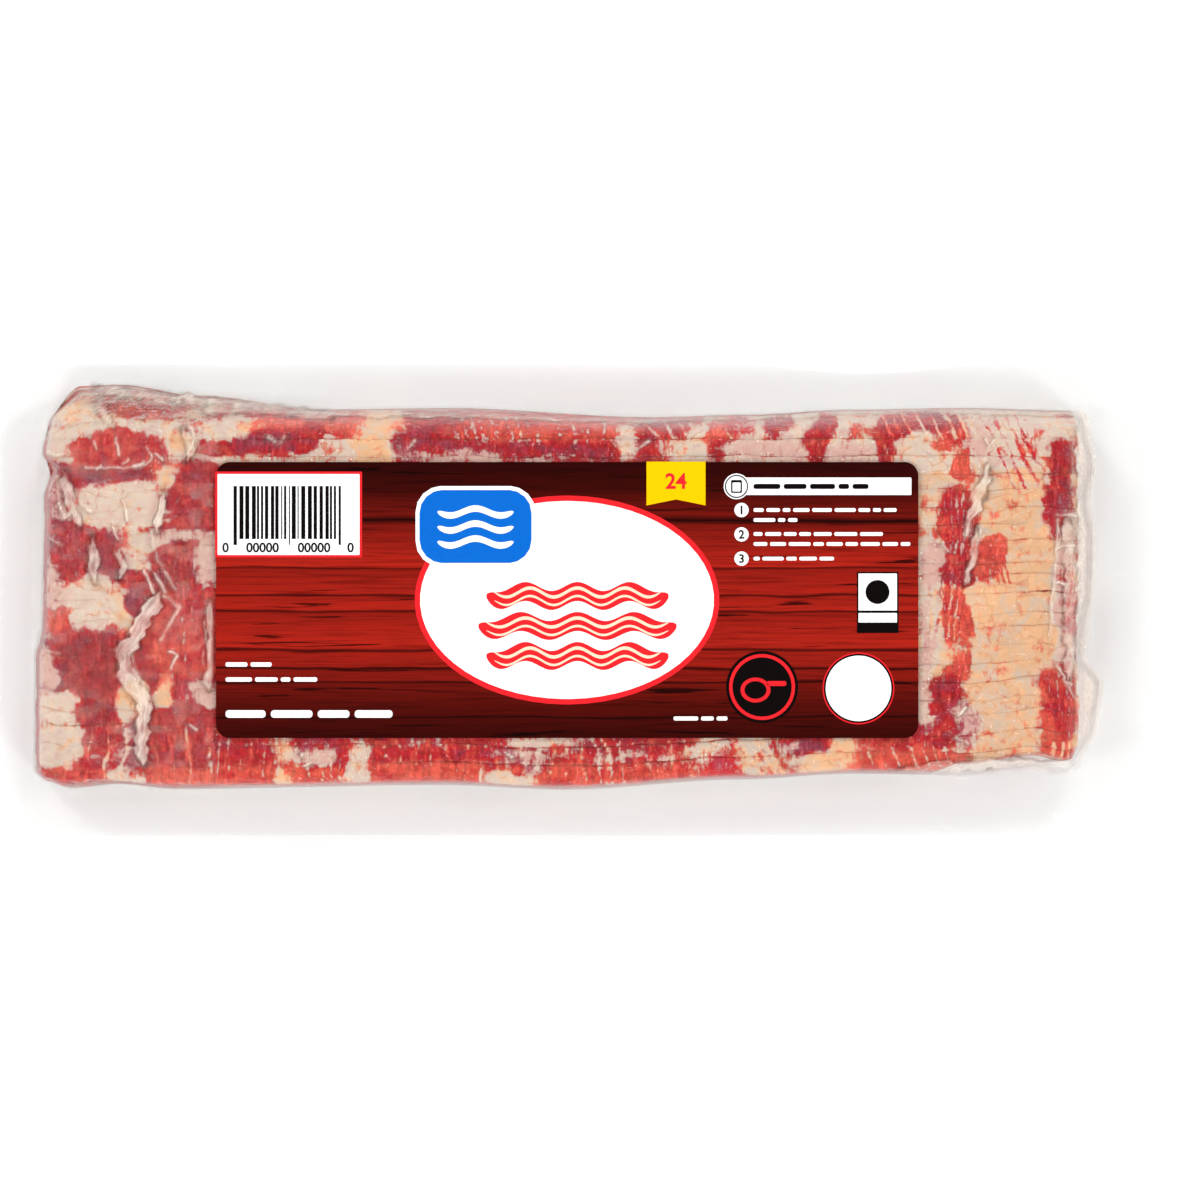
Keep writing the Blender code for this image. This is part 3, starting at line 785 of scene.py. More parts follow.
def crease_fields(x, y):
    """Height, milkiness with painted highlights, crinkle and painted shade of the film's creases. A
    crease falls off from its line as exp(-distance / width), is milky along its line, partly as
    the film's own whiteness and partly as a painted highlight, and has painted shade along one
    side. Nicks are short creases painted milky white as glints. A fold is a band with an even
    top, steep flanks and painted shade at its feet; its milkiness is partly the double film's own
    and partly a painted highlight on its rim and pleats. Soft milky patches over the left end are
    painted sheen. Where the film is crumpled, ridged noise is added."""
    column, row = to_photo(x, y, STACK_TOP)
    at_bend = column / CREASE_BEND_LENGTH, row / CREASE_BEND_LENGTH
    bent_column = column + CREASE_BEND * cloudy(*at_bend, 200)
    bent_row = row + CREASE_BEND * cloudy(*at_bend, 210)
    rise, haze, crinkle, shade = 0 * x, 0 * x, 0 * x + TIGHT_CRINKLE, 0 * x
    uneven = 0.45 + 1.1 * noise(column / 9, row / 9, 220)
    glint_nicks = tuple(((glint_nick[:2], glint_nick[2:]), *GLINT_NICK_SIZE) for glint_nick in GLINT_NICKS)
    for line, height, width, line_haze_and_sheen in CREASES + glint_nicks:
        aside = line_distance(bent_column, bent_row, line) * PHOTO_SCALE / width
        share = np.exp(-np.abs(aside))
        rise = np.maximum(rise, height * share * uneven)
        haze = np.maximum(haze, line_haze_and_sheen * share**1.5 * uneven)
        foot = np.exp(-(((aside - 1.4) / 0.6) ** 2))
        shade = np.maximum(shade, CREASE_SHADE * line_haze_and_sheen * foot * uneven)
    for line, height, half_width, line_haze_and_sheen in FOLDS:
        aside = line_distance(bent_column, bent_row, line)
        tips = (line[0], line[-1])
        ends = np.minimum(*(np.hypot(bent_column - x1, bent_row - y1) for x1, y1 in tips))
        ragged = half_width * (0.5 + noise(column / 11, row / 6, 224))
        inside = ragged * smooth(ends / (3 * half_width) + 0.1) - np.abs(aside)
        share = smooth(inside / FOLD_FLANK + 0.5)
        # The pleats raise the fold; they and a rim just inside its edge are also painted milky white as
        # highlights.
        pleats = (1 - np.abs(cloudy(aside / 4.5, (row + column) / 22, 226, 3))) ** 4
        rim = np.exp(-(((inside - 0.8) / 1.1) ** 2))
        rise = np.maximum(rise, height * share * (0.5 + 0.8 * pleats))
        milk = np.maximum(0.45 + 0.75 * pleats, 0.8 * rim) * (0.1 + 0.95 * uneven)
        haze = np.maximum(haze, line_haze_and_sheen * share * milk)
        foot = np.exp(-(((inside + 1.5) / 1.2) ** 2))
        shade = np.maximum(shade * (1 - share), FOLD_SHADE * foot * uneven)
    inside = box_inset(column, row, *PAINTED_SHEEN_COLUMNS, *PAINTED_SHEEN_ROWS)
    painted_sheen = smooth((noise(column / 15, row / 9, 246) - 0.5) / 0.3) * smooth(inside / 15)
    haze = np.maximum(haze, PAINTED_SHEEN_HAZE * painted_sheen * uneven)
    ridge = (1 - np.abs(cloudy(x / 4.5, y / 6, 230))) ** 4
    fine = (1 - np.abs(cloudy(x / 1.9 + 7, y / 2.6, 240, 2))) ** 3
    for left, right, top, bottom, height in CRUMPLES:
        share = smooth(box_inset(column, row, left, right, top, bottom) / 12 + 0.2)
        rise = rise + height * share * (0.6 * ridge + 0.4 * fine)
        haze = np.maximum(haze, 0.06 * share * ridge * fine)
        crinkle = np.maximum(crinkle, CRUMPLED_CRINKLE * share)
    return rise, haze, crinkle, np.clip(shade, 0, 1)


def film_height(x, y):
    """Height, milkiness with painted highlights and sheen, crinkle and painted shade of the film:
    its tight form, sagging between the slices, with creases. Under the label it stays flat, so
    that the label lies on it."""
    height = film_form(x, y)
    rise, haze, crinkle, shade = crease_fields(x, y)
    out = outside(x, y)
    tall = smooth((height - flange_lift(x, y) - 2) / 6)
    steep = 1 - ends_share(x, y) * wall(y - eased(FRONT_FOOT, x), *FRONT_WALL)
    sag = 0 * x
    for number in range(SLICE_COUNT):
        aside = (y - border_line(number, x, 1.0)) / GROOVE_WIDTH
        sag = sag + border_depth(number, x) * np.exp(-(aside**2))
    height = height - GROOVE_SAG * sag * tall * (1 - steep)
    small = RIPPLE * (1 - np.abs(cloudy(x / 3.1, y / 2.2, 250))) ** 3
    height = height + (rise + small) * smooth((4 - out) / 4)
    steep_share = smooth(steep * 2)
    shade = shade * (1 - steep_share)
    haze = np.maximum(haze * (1 - WALL_CLARITY * steep_share), WALL_HAZE * steep_share)
    loose = smooth((x - MEAT_RIGHT) / 2.5) * smooth(1.5 - out) * (0.8 + 0.4 * noise(y / 9, x / 2, 256))
    haze = np.maximum(haze, END_MILK * loose * (1 - WALL_CLARITY * steep_share))
    haze = np.maximum(haze, FLANGE_HAZE * smooth(out / 1.5))
    under = smooth(label_inset(x, y) + FLAT_MARGIN)
    flat = np.minimum(height, crest_height(x, y) + FLAT_RISE)
    haze = haze * (1 - under)
    shade = shade * (1 - under) * smooth((MEAT_RIGHT + 1 - x) / 2) * smooth(2 - out)
    return height + (flat - height) * under, haze, crinkle, shade


def film_back_edge(x):
    """Y of the film's back edge: straight, with one shallow scallop."""
    share = np.clip(np.abs(x - SCALLOP_CENTRE) / SCALLOP_HALF_WIDTH, 0, 1)
    return FILM_WIDTH / 2 - SCALLOP_DEPTH * (1 + np.cos(np.pi * share)) / 2


def stations_between(anchors, counts, powers):
    """Places from anchor to anchor, that many steps in each stretch. A power over 1 sets them
    closer together at the stretch's first end, one below 0 at its last end."""
    parts = []
    for first, last, count, power in zip(anchors[:-1], anchors[1:], counts, powers):
        share = np.arange(count) / count
        share = share**power if power > 0 else 1 - (1 - share) ** -power
        parts.append(first + (last - first) * share.reshape(-1, *[1] * np.ndim(first)))
    return np.concatenate(parts + [np.asarray(anchors[-1])[None]])


def film_grid(coarse):
    """X and Y of the film's points: rows and columns that follow its foot on all four sides and
    crowd on the steep walls. A coarse grid has a quarter of the steps."""
    step = 4 if coarse else 1
    rows = int((LAST_EDGE_Y + 50) / ROW_CELL) // step
    even_y = np.linspace(-FILM_WIDTH / 2, FILM_WIDTH / 2, 8 * rows)
    left, right = eased(LEFT_FOOT, even_y), eased(RIGHT_FOOT, even_y)
    ends = (FILM_CUTS[0] - STACK_LEFT, STACK_RIGHT - FILM_CUTS[1])
    ends = [int((length - END_REACH) / END_CELL) // step for length in ends]
    middle = int((FILM_CUTS[1] - FILM_CUTS[0]) / MIDDLE_CELL) // step
    walls = WALL_COLUMNS // step + 1
    counts = (LEFT_BORDER // step, walls, ends[0], middle, ends[1], walls, RIGHT_BORDER // step)
    first_cut, last_cut = (cut + 0 * left for cut in FILM_CUTS)
    anchors = (-FILM_LENGTH / 2 + 0 * left, left, left + END_REACH, first_cut, last_cut,
               right - END_REACH, right, FILM_LENGTH / 2 + 0 * left)
    x_by_y = stations_between(anchors, counts, (-1.5, 1.4, 1, 1, 1, -1.4, 1.5))
    nominal_x = x_by_y[:, len(even_y) // 2]
    front, back = eased(FRONT_FOOT, nominal_x), eased(BACK_FOOT, nominal_x)
    border = LONG_BORDER // step
    counts = (border, WALL_ROWS // step + 1, rows, SLOPE_ROWS // step, border)
    anchors = (-FILM_WIDTH / 2 + 0 * front, front, front + FRONT_REACH, LAST_EDGE_Y + 0 * front,
               back, film_back_edge(nominal_x))
    y = stations_between(anchors, counts, (-1.5, 1.4, 1, 1, 1.5))
    x = np.stack([np.interp(line, even_y, places) for line, places in zip(y.T, x_by_y)], 1)
    x[:, 0], x[:, -1] = -FILM_LENGTH / 2, FILM_LENGTH / 2
    y[-1] = film_back_edge(x[-1])
    return x, y


def film_seam(x, y):
    """1 on the film's outline and 0 from half a millimetre in, where front and back film part."""
    edge = np.minimum(FILM_LENGTH / 2 - np.abs(x), np.minimum(y + FILM_WIDTH / 2, film_back_edge(x) - y))
    return smooth(1 - edge / 0.5)


def add_film(name, x, y, z, fields, material, turned=False):
    """A piece of film from a grid of points and its fields. Turned, its faces point down."""
    faces = grid_faces(*x.shape)
    points = np.stack([x, y, z], -1).reshape(-1, 3)
    fields = {key: values.ravel() for key, values in zip(FILM_FIELDS, fields)}
    return add_mesh(name, points, [faces[:, ::-1] if turned else faces], material, fields)


def make_front_film(material):
    """The front film over the stack, in three pieces side by side: a height for each x and y."""
    x, y = film_grid(coarse=False)
    z, *fields = film_height(x, y)
    z = z + (flange_lift(x, y) + FLANGE_SEAM - z) * film_seam(x, y)
    cuts = [0, *(int(np.argmin(np.abs(x[len(x) // 2] - cut))) for cut in FILM_CUTS), x.shape[1] - 1]
    pieces = []
    for name, first, last in zip(("left", "middle", "right"), cuts[:-1], cuts[1:]):
        part = (slice(None), slice(first, last + 1))
        values = [field[part] for field in fields]
        pieces.append(add_film(f"film_front_{name}", x[part], y[part], z[part], values, material))
    return pieces


def make_back_film(material):
    """The back film, flat under the stack and just under the front film round it."""
    x, y = film_grid(coarse=True)
    z = flange_lift(x, y) + FLANGE_BOTTOM * smooth(outside(x, y))
    z = z + (flange_lift(x, y) + FLANGE_SEAM - z) * film_seam(x, y)
    return add_film("film_back", x, y, z, [0 * x, 0 * x + 0.2, 0 * x], material, turned=True)


def film_material(settings):
    """Clear vacuum film, a coextruded polyamide and polyethylene, shrunk tight. It shines sharply
    on every crease, and is a little milky where it is creased, steep or sealed. Along creases and
    folds that milky white is partly a painted highlight, and over the left end soft milky patches
    are painted sheen. Painted shade darkens what lies beside a crease and under the foot of a
    fold."""
    material, tree, surface = new_material("clear_vacuum_film")
    where = add(tree, "TexCoord").outputs["Object"]
    haze, crinkle, shade = (
        add(tree, "Attribute", attribute_name=name).outputs["Fac"] for name in FILM_FIELDS
    )
    at_wrinkle = add(tree, "Mapping", {"Vector": where, "Scale": unit_sizes(3.4, 2.4, 3.4)})
    wrinkles = add(tree, "TexNoise", {"Vector": at_wrinkle, "Scale": 1, "Detail": 3, "Distortion": 1.4})
    wrinkles = add(tree, "Math", [wrinkles, crinkle], operation="MULTIPLY")
    bump = add(tree, "Bump", {"Height": wrinkles, "Strength": 1.0, "Distance": 1.9 * MM})
    # Painted shade: where the shade attribute is set, what shows through the film turns dark brown.
    painted_shade_tint = {0: shade, 6: (1, 1, 1, 1), 7: (*linear("#7A4638"), 1)}
    clear = add(tree, "BsdfTransparent", [add(tree, "Mix", painted_shade_tint, data_type="RGBA")])
    milk = (*settings.film_colour, 1)
    # The milky part also shows the painted highlights and sheen set along creases, folds and nicks.
    milky = [0.4, add(tree, "BsdfDiffuse", [milk]), add(tree, "BsdfTranslucent", [milk])]
    milky = add(tree, "MixShader", milky)
    gloss = add(tree, "BsdfGlossy", {"Roughness": 0.06, "Normal": bump})
    facing = add(tree, "LayerWeight", {"Blend": 0.5, "Normal": bump}).outputs["Facing"]
    grazing = add(tree, "Math", [facing, 5.0], operation="POWER")
    shine = add(tree, "Math", [grazing, 1 - FILM_SHINE, FILM_SHINE], operation="MULTIPLY_ADD")
    haze = add(tree, "Math", [haze, 0.9], operation="MINIMUM")
    body = add(tree, "MixShader", [haze, clear, milky])
    whole = add(tree, "MixShader", [shine, body, gloss])
    tree.links.new(whole.outputs["Shader"], surface)
    return material


# The label

# The red boards printed on the label: rows of the gaps between them, in the photo, with each
# gap's half width in millimetres
BOARD_GAPS = (
    (520, 0.9), (568, 0.25), (596, 0.35), (611, 0.3), (650, 0.45), (668, 0.4), (682, 0.3), (717, 0.3),
)
# Height at which the print is placed from the photo, and the size of a photo pixel there
LABEL_HEIGHT_Z = 24.0
LABEL_SCALE = PHOTO_SCALE * (1 - LABEL_HEIGHT_Z / CAMERA_HEIGHT)
# Edges of plates sharper than this stay sharp, and how much the varnish mirrors
PLATE_EDGE = math.radians(40)
LABEL_SHINE = 0.08
# How light the boards are across the label, as (share of its width from the front, light)
LABEL_FADE = (
    (0.0, 0.07), (0.12, 0.15), (0.36, 0.68), (0.62, 0.68), (0.78, 0.31), (0.9, 0.07), (1.0, 0.04),
)


def label_top(x, y):
    """Height of the label's upper face: the crest's, raised by its gap and thickness."""
    return crest_height(x, y) + LABEL_GAP + LABEL_THICKNESS


def rounded_rows(centre, size, corner, steps, bend=6):
    """X and Y of a box with round corners, as rows across it: each row ends on the outline, and
    rows crowd where the corners turn."""
    half_length, half_width = size[0] / 2, size[1] / 2
    turn = np.linspace(0, np.pi / 2, bend)[:-1]
    ends = half_width - corner + corner * np.cos(turn)
    ends[0] = half_width - 0.002 * corner
    middle = np.linspace(half_width - corner, corner - half_width, steps[1])
    rows = np.concatenate([ends, middle, -ends[::-1]])
    over = np.clip(np.abs(rows) - (half_width - corner), 0, corner)
    reach = half_length - corner + np.sqrt(corner**2 - over**2)
    across = np.linspace(-1, 1, steps[0])
    return centre[0] + reach[:, None] * across, centre[1] + rows[:, None] + 0 * across


def closed_plates(grids, low, high, around=False):
    """Points and faces of thin closed plates: each (x, y) grid at height low and again at height
    high above the label's own surface, joined by a wall along their edge."""
    points, faces, start = [], [], 0
    for x, y in grids:
        rows, columns = x.shape
        size = rows * columns
        for height in (low, high):
            points.append(np.stack([x, y, label_top(x, y) + height], -1).reshape(-1, 3))
        quads = grid_faces(rows, columns, around, start)
        index = np.arange(size).reshape(rows, columns)
        if around:
            loops = [np.append(index[0], index[0, 0]), np.append(index[-1], index[-1, 0])[::-1]]
        else:
            loops = [np.concatenate([index[0, :-1], index[:-1, -1], index[-1, :0:-1], index[::-1, 0]])]
        walls = [np.stack([loop[:-1], loop[1:], loop[1:] + size, loop[:-1] + size], -1) for loop in loops]
        flip = np.ptp(y[:, 0]) > 0 and y[-1, 0] < y[0, 0]
        parts = [quads[:, ::-1], quads + size, np.concatenate(walls) + start]
        if flip:
            parts = [part[:, ::-1] for part in parts]
        faces += parts
        start += 2 * size
    return np.concatenate(points), faces


def make_label(material):
    """The label's own plate: rows across a rounded box, laid on the crest of the film."""
    size = (LABEL_LENGTH, LABEL_WIDTH)
    grid = rounded_rows((LABEL_CENTRE_X, 0), size, LABEL_CORNER, (160, 60), bend=9)
    points, faces = closed_plates([grid], -LABEL_THICKNESS, 0.0)
    return add_mesh("label_sheet", points, faces, material, sharp_angle=PLATE_EDGE)


def label_place(column, row):
    """The place on the label that a pixel of the photograph shows."""
    return from_photo(column, row, LABEL_HEIGHT_Z)


def box_print(left, right, top, bottom, corner_px, columns=12, rows=4):
    """A box with round corners between pixel limits on the label."""
    (x1, y1), (x2, y2) = label_place(left, bottom), label_place(right, top)
    corner = corner_px * (x2 - x1) / (right - left)
    centre = (x1 + x2) / 2, (y1 + y2) / 2
    return rounded_rows(centre, (x2 - x1, y2 - y1), corner, (columns, rows), bend=5)


def ring_print(column, row, outer, inner, steps=64):
    """A ring between two radii in pixels."""
    x, y = label_place(column, row)
    angle = np.linspace(0, 2 * np.pi, steps, endpoint=False)
    radius = np.linspace(outer, inner, 3)[:, None] * LABEL_SCALE
    return x + radius * np.cos(angle), y + radius * np.sin(angle)


def oval_print(column, row, half_length, half_width, rows=30, columns=30):
    """An ellipse with half axes in pixels: rows across it, each as long as the ellipse is there."""
    x, y = label_place(column, row)
    turn = np.linspace(0.02, np.pi - 0.02, rows)[:, None]
    across = np.linspace(-1, 1, columns)
    reach = half_length * LABEL_SCALE * np.sin(turn) * across
    return x + reach, y + half_width * LABEL_SCALE * np.cos(turn) + 0 * across


def wave_print(left, right, row, width, swing, waves, columns=90):
    """A wavy band: its middle line is swing * sin(2 pi waves t), width pixels across."""
    share = np.linspace(0, 1, columns)
    middle = row + swing * np.sin(2 * np.pi * waves * share)
    taper = width / 2 * np.sqrt(np.clip(1 - (2 * share - 1) ** 10, 0.04, 1))
    column = left + (right - left) * share
    return label_place(np.stack([column, column]), np.stack([middle - taper, middle + taper]))


def bar_print(left, right, top, bottom, rows):
    """A plain bar between pixel limits on the label."""
    column, row = np.meshgrid([left, right], np.linspace(top, bottom, rows))
    return label_place(column, row)


def line_of_words(left, right, row, height, seed):
    """A line of blank bars with round ends, side by side, their lengths by a seeded rule."""
    rng = np.random.default_rng(seed)
    bars, place = [], left
    while place < right - height:
        end = min(place + height * rng.uniform(1.0, 3.8), right)
        bars.append(box_print(place, end, row - height * 0.3, row + height * 0.3, height * 0.25, 5, 3))
        place = end + 0.42 * height
    return bars


def add_print(name, grids, layer, material, around=False):
    """Printed shapes of one colour, raised by PRINT_STEP for each layer under them."""
    low = (layer - 1) * PRINT_STEP + PRINT_GAP
    points, faces = closed_plates(grids, low, layer * PRINT_STEP, around)
    return add_mesh(name, points, faces, material, sharp_angle=PLATE_EDGE)


# How much bolder a numeral is than the font, and how near two of its points are one, both as a
# share of the font's size
NUMERAL_WEIGHT, NUMERAL_WELD = 0.022, 1e-4


def add_numeral(name, text, column, row, height, layer, material):
    """A plain number: Blender's own font made a closed mesh, then laid on the label."""
    curve = bpy.data.curves.new(name, "FONT")
    curve.body = text
    curve.align_x = "CENTER"
    curve.align_y = "CENTER"
    curve.offset = NUMERAL_WEIGHT
    curve.extrude = 0.5
    holder = bpy.data.objects.new(name, curve)
    bpy.context.scene.collection.objects.link(holder)
    bpy.context.view_layer.update()
    mesh = bpy.data.meshes.new_from_object(holder.evaluated_get(bpy.context.evaluated_depsgraph_get()))
    bpy.data.objects.remove(holder)
    shell = bmesh.new()
    shell.from_mesh(mesh)
    bmesh.ops.remove_doubles(shell, verts=shell.verts, dist=NUMERAL_WELD)
    bmesh.ops.recalc_face_normals(shell, faces=shell.faces)
    shell.to_mesh(mesh)
    shell.free()
    points = np.empty(len(mesh.vertices) * 3, np.float32)
    mesh.vertices.foreach_get("co", points)
    points = points.reshape(-1, 3).astype(float)
    middle = (points[:, :2].max(0) + points[:, :2].min(0)) / 2
    scale = height * PHOTO_SCALE / np.ptp(points[:, 1])
    x, y = label_place(column, row)
    x, y = x + (points[:, 0] - middle[0]) * scale, y + (points[:, 1] - middle[1]) * scale
    z = label_top(x, y) + (layer - 0.5 + points[:, 2] * 0.98) * PRINT_STEP
    mesh.vertices.foreach_set("co", (np.stack([x, y, z], -1) * MM).astype(np.float32).ravel())
    mesh.update()
    mesh.name = name
    mesh.materials.clear()
    mesh.materials.append(material)
    piece = bpy.data.objects.new(name, mesh)
    bpy.context.scene.collection.objects.link(piece)
    return piece


def ink_material(name, code, settings):
    """Flexographic ink under a clear overprint varnish: flat, even and glossy, with the slight
    mottle that a printing plate leaves, drawn 1 mm wide so that it shows."""
    material, tree, surface = new_material(name)
    where = add(tree, "TexCoord").outputs["Object"]
    at_mottle = add(tree, "Mapping", {"Vector": where, "Scale": unit_sizes(1, 1, 1)})
    mottle = add(tree, "TexNoise", {"Vector": at_mottle, "Scale": 1, "Detail": 2})
    ink = np.array(linear(code))
    inks = (0.3, tuple(ink * 0.95)), (0.7, tuple(np.minimum(ink * 1.03, 1)))
    colour = add(tree, "ValToRGB", [mottle], inks)
    inputs = {"Base Color": colour, "Roughness": settings.label_roughness}
    inputs["Specular IOR Level"] = LABEL_SHINE
    tree.links.new(add(tree, "BsdfPrincipled", inputs).outputs["BSDF"], surface)
    return material


def board_stops():
    """Stops of the boards' lightness across the label: each board has one light, which falls off
    a little towards its far edge, and each gap between two is nearly black."""
    stops, lights = [], np.random.default_rng(9)
    for row, half in sorted(BOARD_GAPS, reverse=True):
        edge = (LABEL_WIDTH / 2 + label_place(0, row)[1]) / LABEL_WIDTH
        reach = 1.5 * half / LABEL_WIDTH
        stops += [(edge - reach, (lights.uniform(0.6, 0.85),) * 3), (edge, (0.01,) * 3)]
        stops += [(edge + reach, (lights.uniform(0.85, 1.0),) * 3)]
    return stops


def label_material(settings):
    """Printed polypropylene: red boards with dark gaps, near black towards both long edges. The
    grain is 0.3 mm fine across the boards and runs along them for centimetres."""
    material, tree, surface = new_material("printed_polypropylene")
    where = add(tree, "TexCoord").outputs["Object"]
    plain = add(tree, "Mapping", {"Vector": where, "Scale": unit_sizes(1, 1, 1)})
    y = add(tree, "SeparateXYZ", [plain]).outputs["Y"]
    patterns = []
    for sizes, detail, swirl in (
        ((30, 6, 1), 2, 0), ((26, 0.8, 1), 5, 0.3), ((12, 0.28, 1), 3, 0), ((34, 1.3, 1), 4, 0.5),
        ((14, 9, 1), 2, 0),
    ):
        place = add(tree, "Mapping", {"Vector": where, "Scale": unit_sizes(*sizes)})
        inputs = {"Vector": place, "Scale": 1, "Detail": detail, "Distortion": swirl}
        patterns.append(add(tree, "TexNoise", inputs))
    slow, long_grain, fine_grain, cracks, wavy = patterns
    wander = add(tree, "Math", [slow, 2.2, LABEL_WIDTH / 2 - 1.1], operation="MULTIPLY_ADD")
    across = add(tree, "Math", [y, wander])
    share = add(tree, "Math", [across, LABEL_WIDTH], operation="DIVIDE")
    boards = add(tree, "ValToRGB", [share], board_stops())

    reds = (0.2, linear("#8C1208")), (0.5, settings.label_colour), (0.8, linear("#DA2717"))
    red = add(tree, "ValToRGB", [long_grain], reds)
    fine = add(tree, "MapRange", [fine_grain, 0.30, 0.55, 0.3, 0], interpolation_type="SMOOTHSTEP")
    grained = add(tree, "Mix", {0: fine, 6: red, 7: (*linear("#3A0503"), 1)}, data_type="RGBA")
    crack = add(tree, "MapRange", [cracks, 0.62, 0.68, 0, 0.85], interpolation_type="SMOOTHSTEP")
    cracked = add(tree, "Mix", {0: crack, 6: grained, 7: (*linear("#1A0201"), 1)}, data_type="RGBA")
    board = add(tree, "Mix", {0: 1.0, 6: cracked, 7: boards}, data_type="RGBA", blend_type="MULTIPLY")

    up = add(tree, "Math", [y, 1 / LABEL_WIDTH, 0.5], operation="MULTIPLY_ADD")
    fade = add(tree, "ValToRGB", [up], [(place, (light,) * 3) for place, light in LABEL_FADE])
    colour = add(tree, "Mix", {0: 1.0, 6: board, 7: fade}, data_type="RGBA", blend_type="MULTIPLY")
    bump = add(tree, "Bump", {"Height": wavy, "Strength": 0.12, "Distance": 0.5 * MM})
    inputs = {"Base Color": colour, "Roughness": settings.label_roughness, "Normal": bump}
    inputs["Specular IOR Level"] = LABEL_SHINE
    tree.links.new(add(tree, "BsdfPrincipled", inputs).outputs["BSDF"], surface)
    return material


def code_bars():
    """Bars and gaps of seeded widths, longer at both ends and in the middle."""
    rng = np.random.default_rng(4)
    bars, place = [], 233.0
    while place < 340:
        width = rng.choice([1.1, 2.2, 3.3, 4.0])
        foot = 545 if place < 238 or place > 336 or 284 < place < 291 else 539
        bars.append(bar_print(place, place + width, 486, foot, 6))
        place += width + rng.choice([1.1, 1.8, 2.6])
    return bars


def rashers():
    """Three wavy rashers, one below the other, and two stripes of fat on each."""
    lean, fat = [], []
    for row, inset in ((596, 8), (626, 0), (656, 8)):
        lean.append(wave_print(478 + inset, 676 - inset, row, 19, 4.5, 3.5))
        for down, width in ((-3.5, 3.4), (4.5, 2.4)):
            fat.append(wave_print(486 + inset, 668 - inset, row + down, width, 4.5, 3.5))
    return lean, fat


def tag_plates():
    """A tag and its forked foot: the foot's edge is 6 * |t| pixels lower at t from -1 to 1."""
    share = np.linspace(-1, 1, 13)
    foot = np.stack([499 + 0 * share, 499.4 + 6 * np.abs(share)])
    column = 675.5 + 29.5 * share
    return [box_print(646, 705, 461.6, 499, 0.3, 12, 6), label_place(np.stack([column, column]), foot)]


def round_print(column, row, radius, rows=24):
    """A disc with a radius in pixels."""
    return oval_print(column, row, radius, radius, rows, rows)


# Rows of the numbered discs, and the lines of blank bars: (left, right, row, height, seed)
STEP_ROWS = (510, 534.4, 558.6)
WORD_LINES = (
    (753, 899, 510, 6.2, 30), (753, 797, 520, 6.2, 31), (753, 891, 534, 6.2, 32),
    (753, 911, 544, 6.2, 33), (753, 834, 558.6, 6.2, 34), (225, 280, 664.5, 7.2, 40),
    (225, 317, 679.5, 7.2, 41), (225, 392, 714, 12.5, 50), (673, 727, 718.5, 6.8, 51),
)


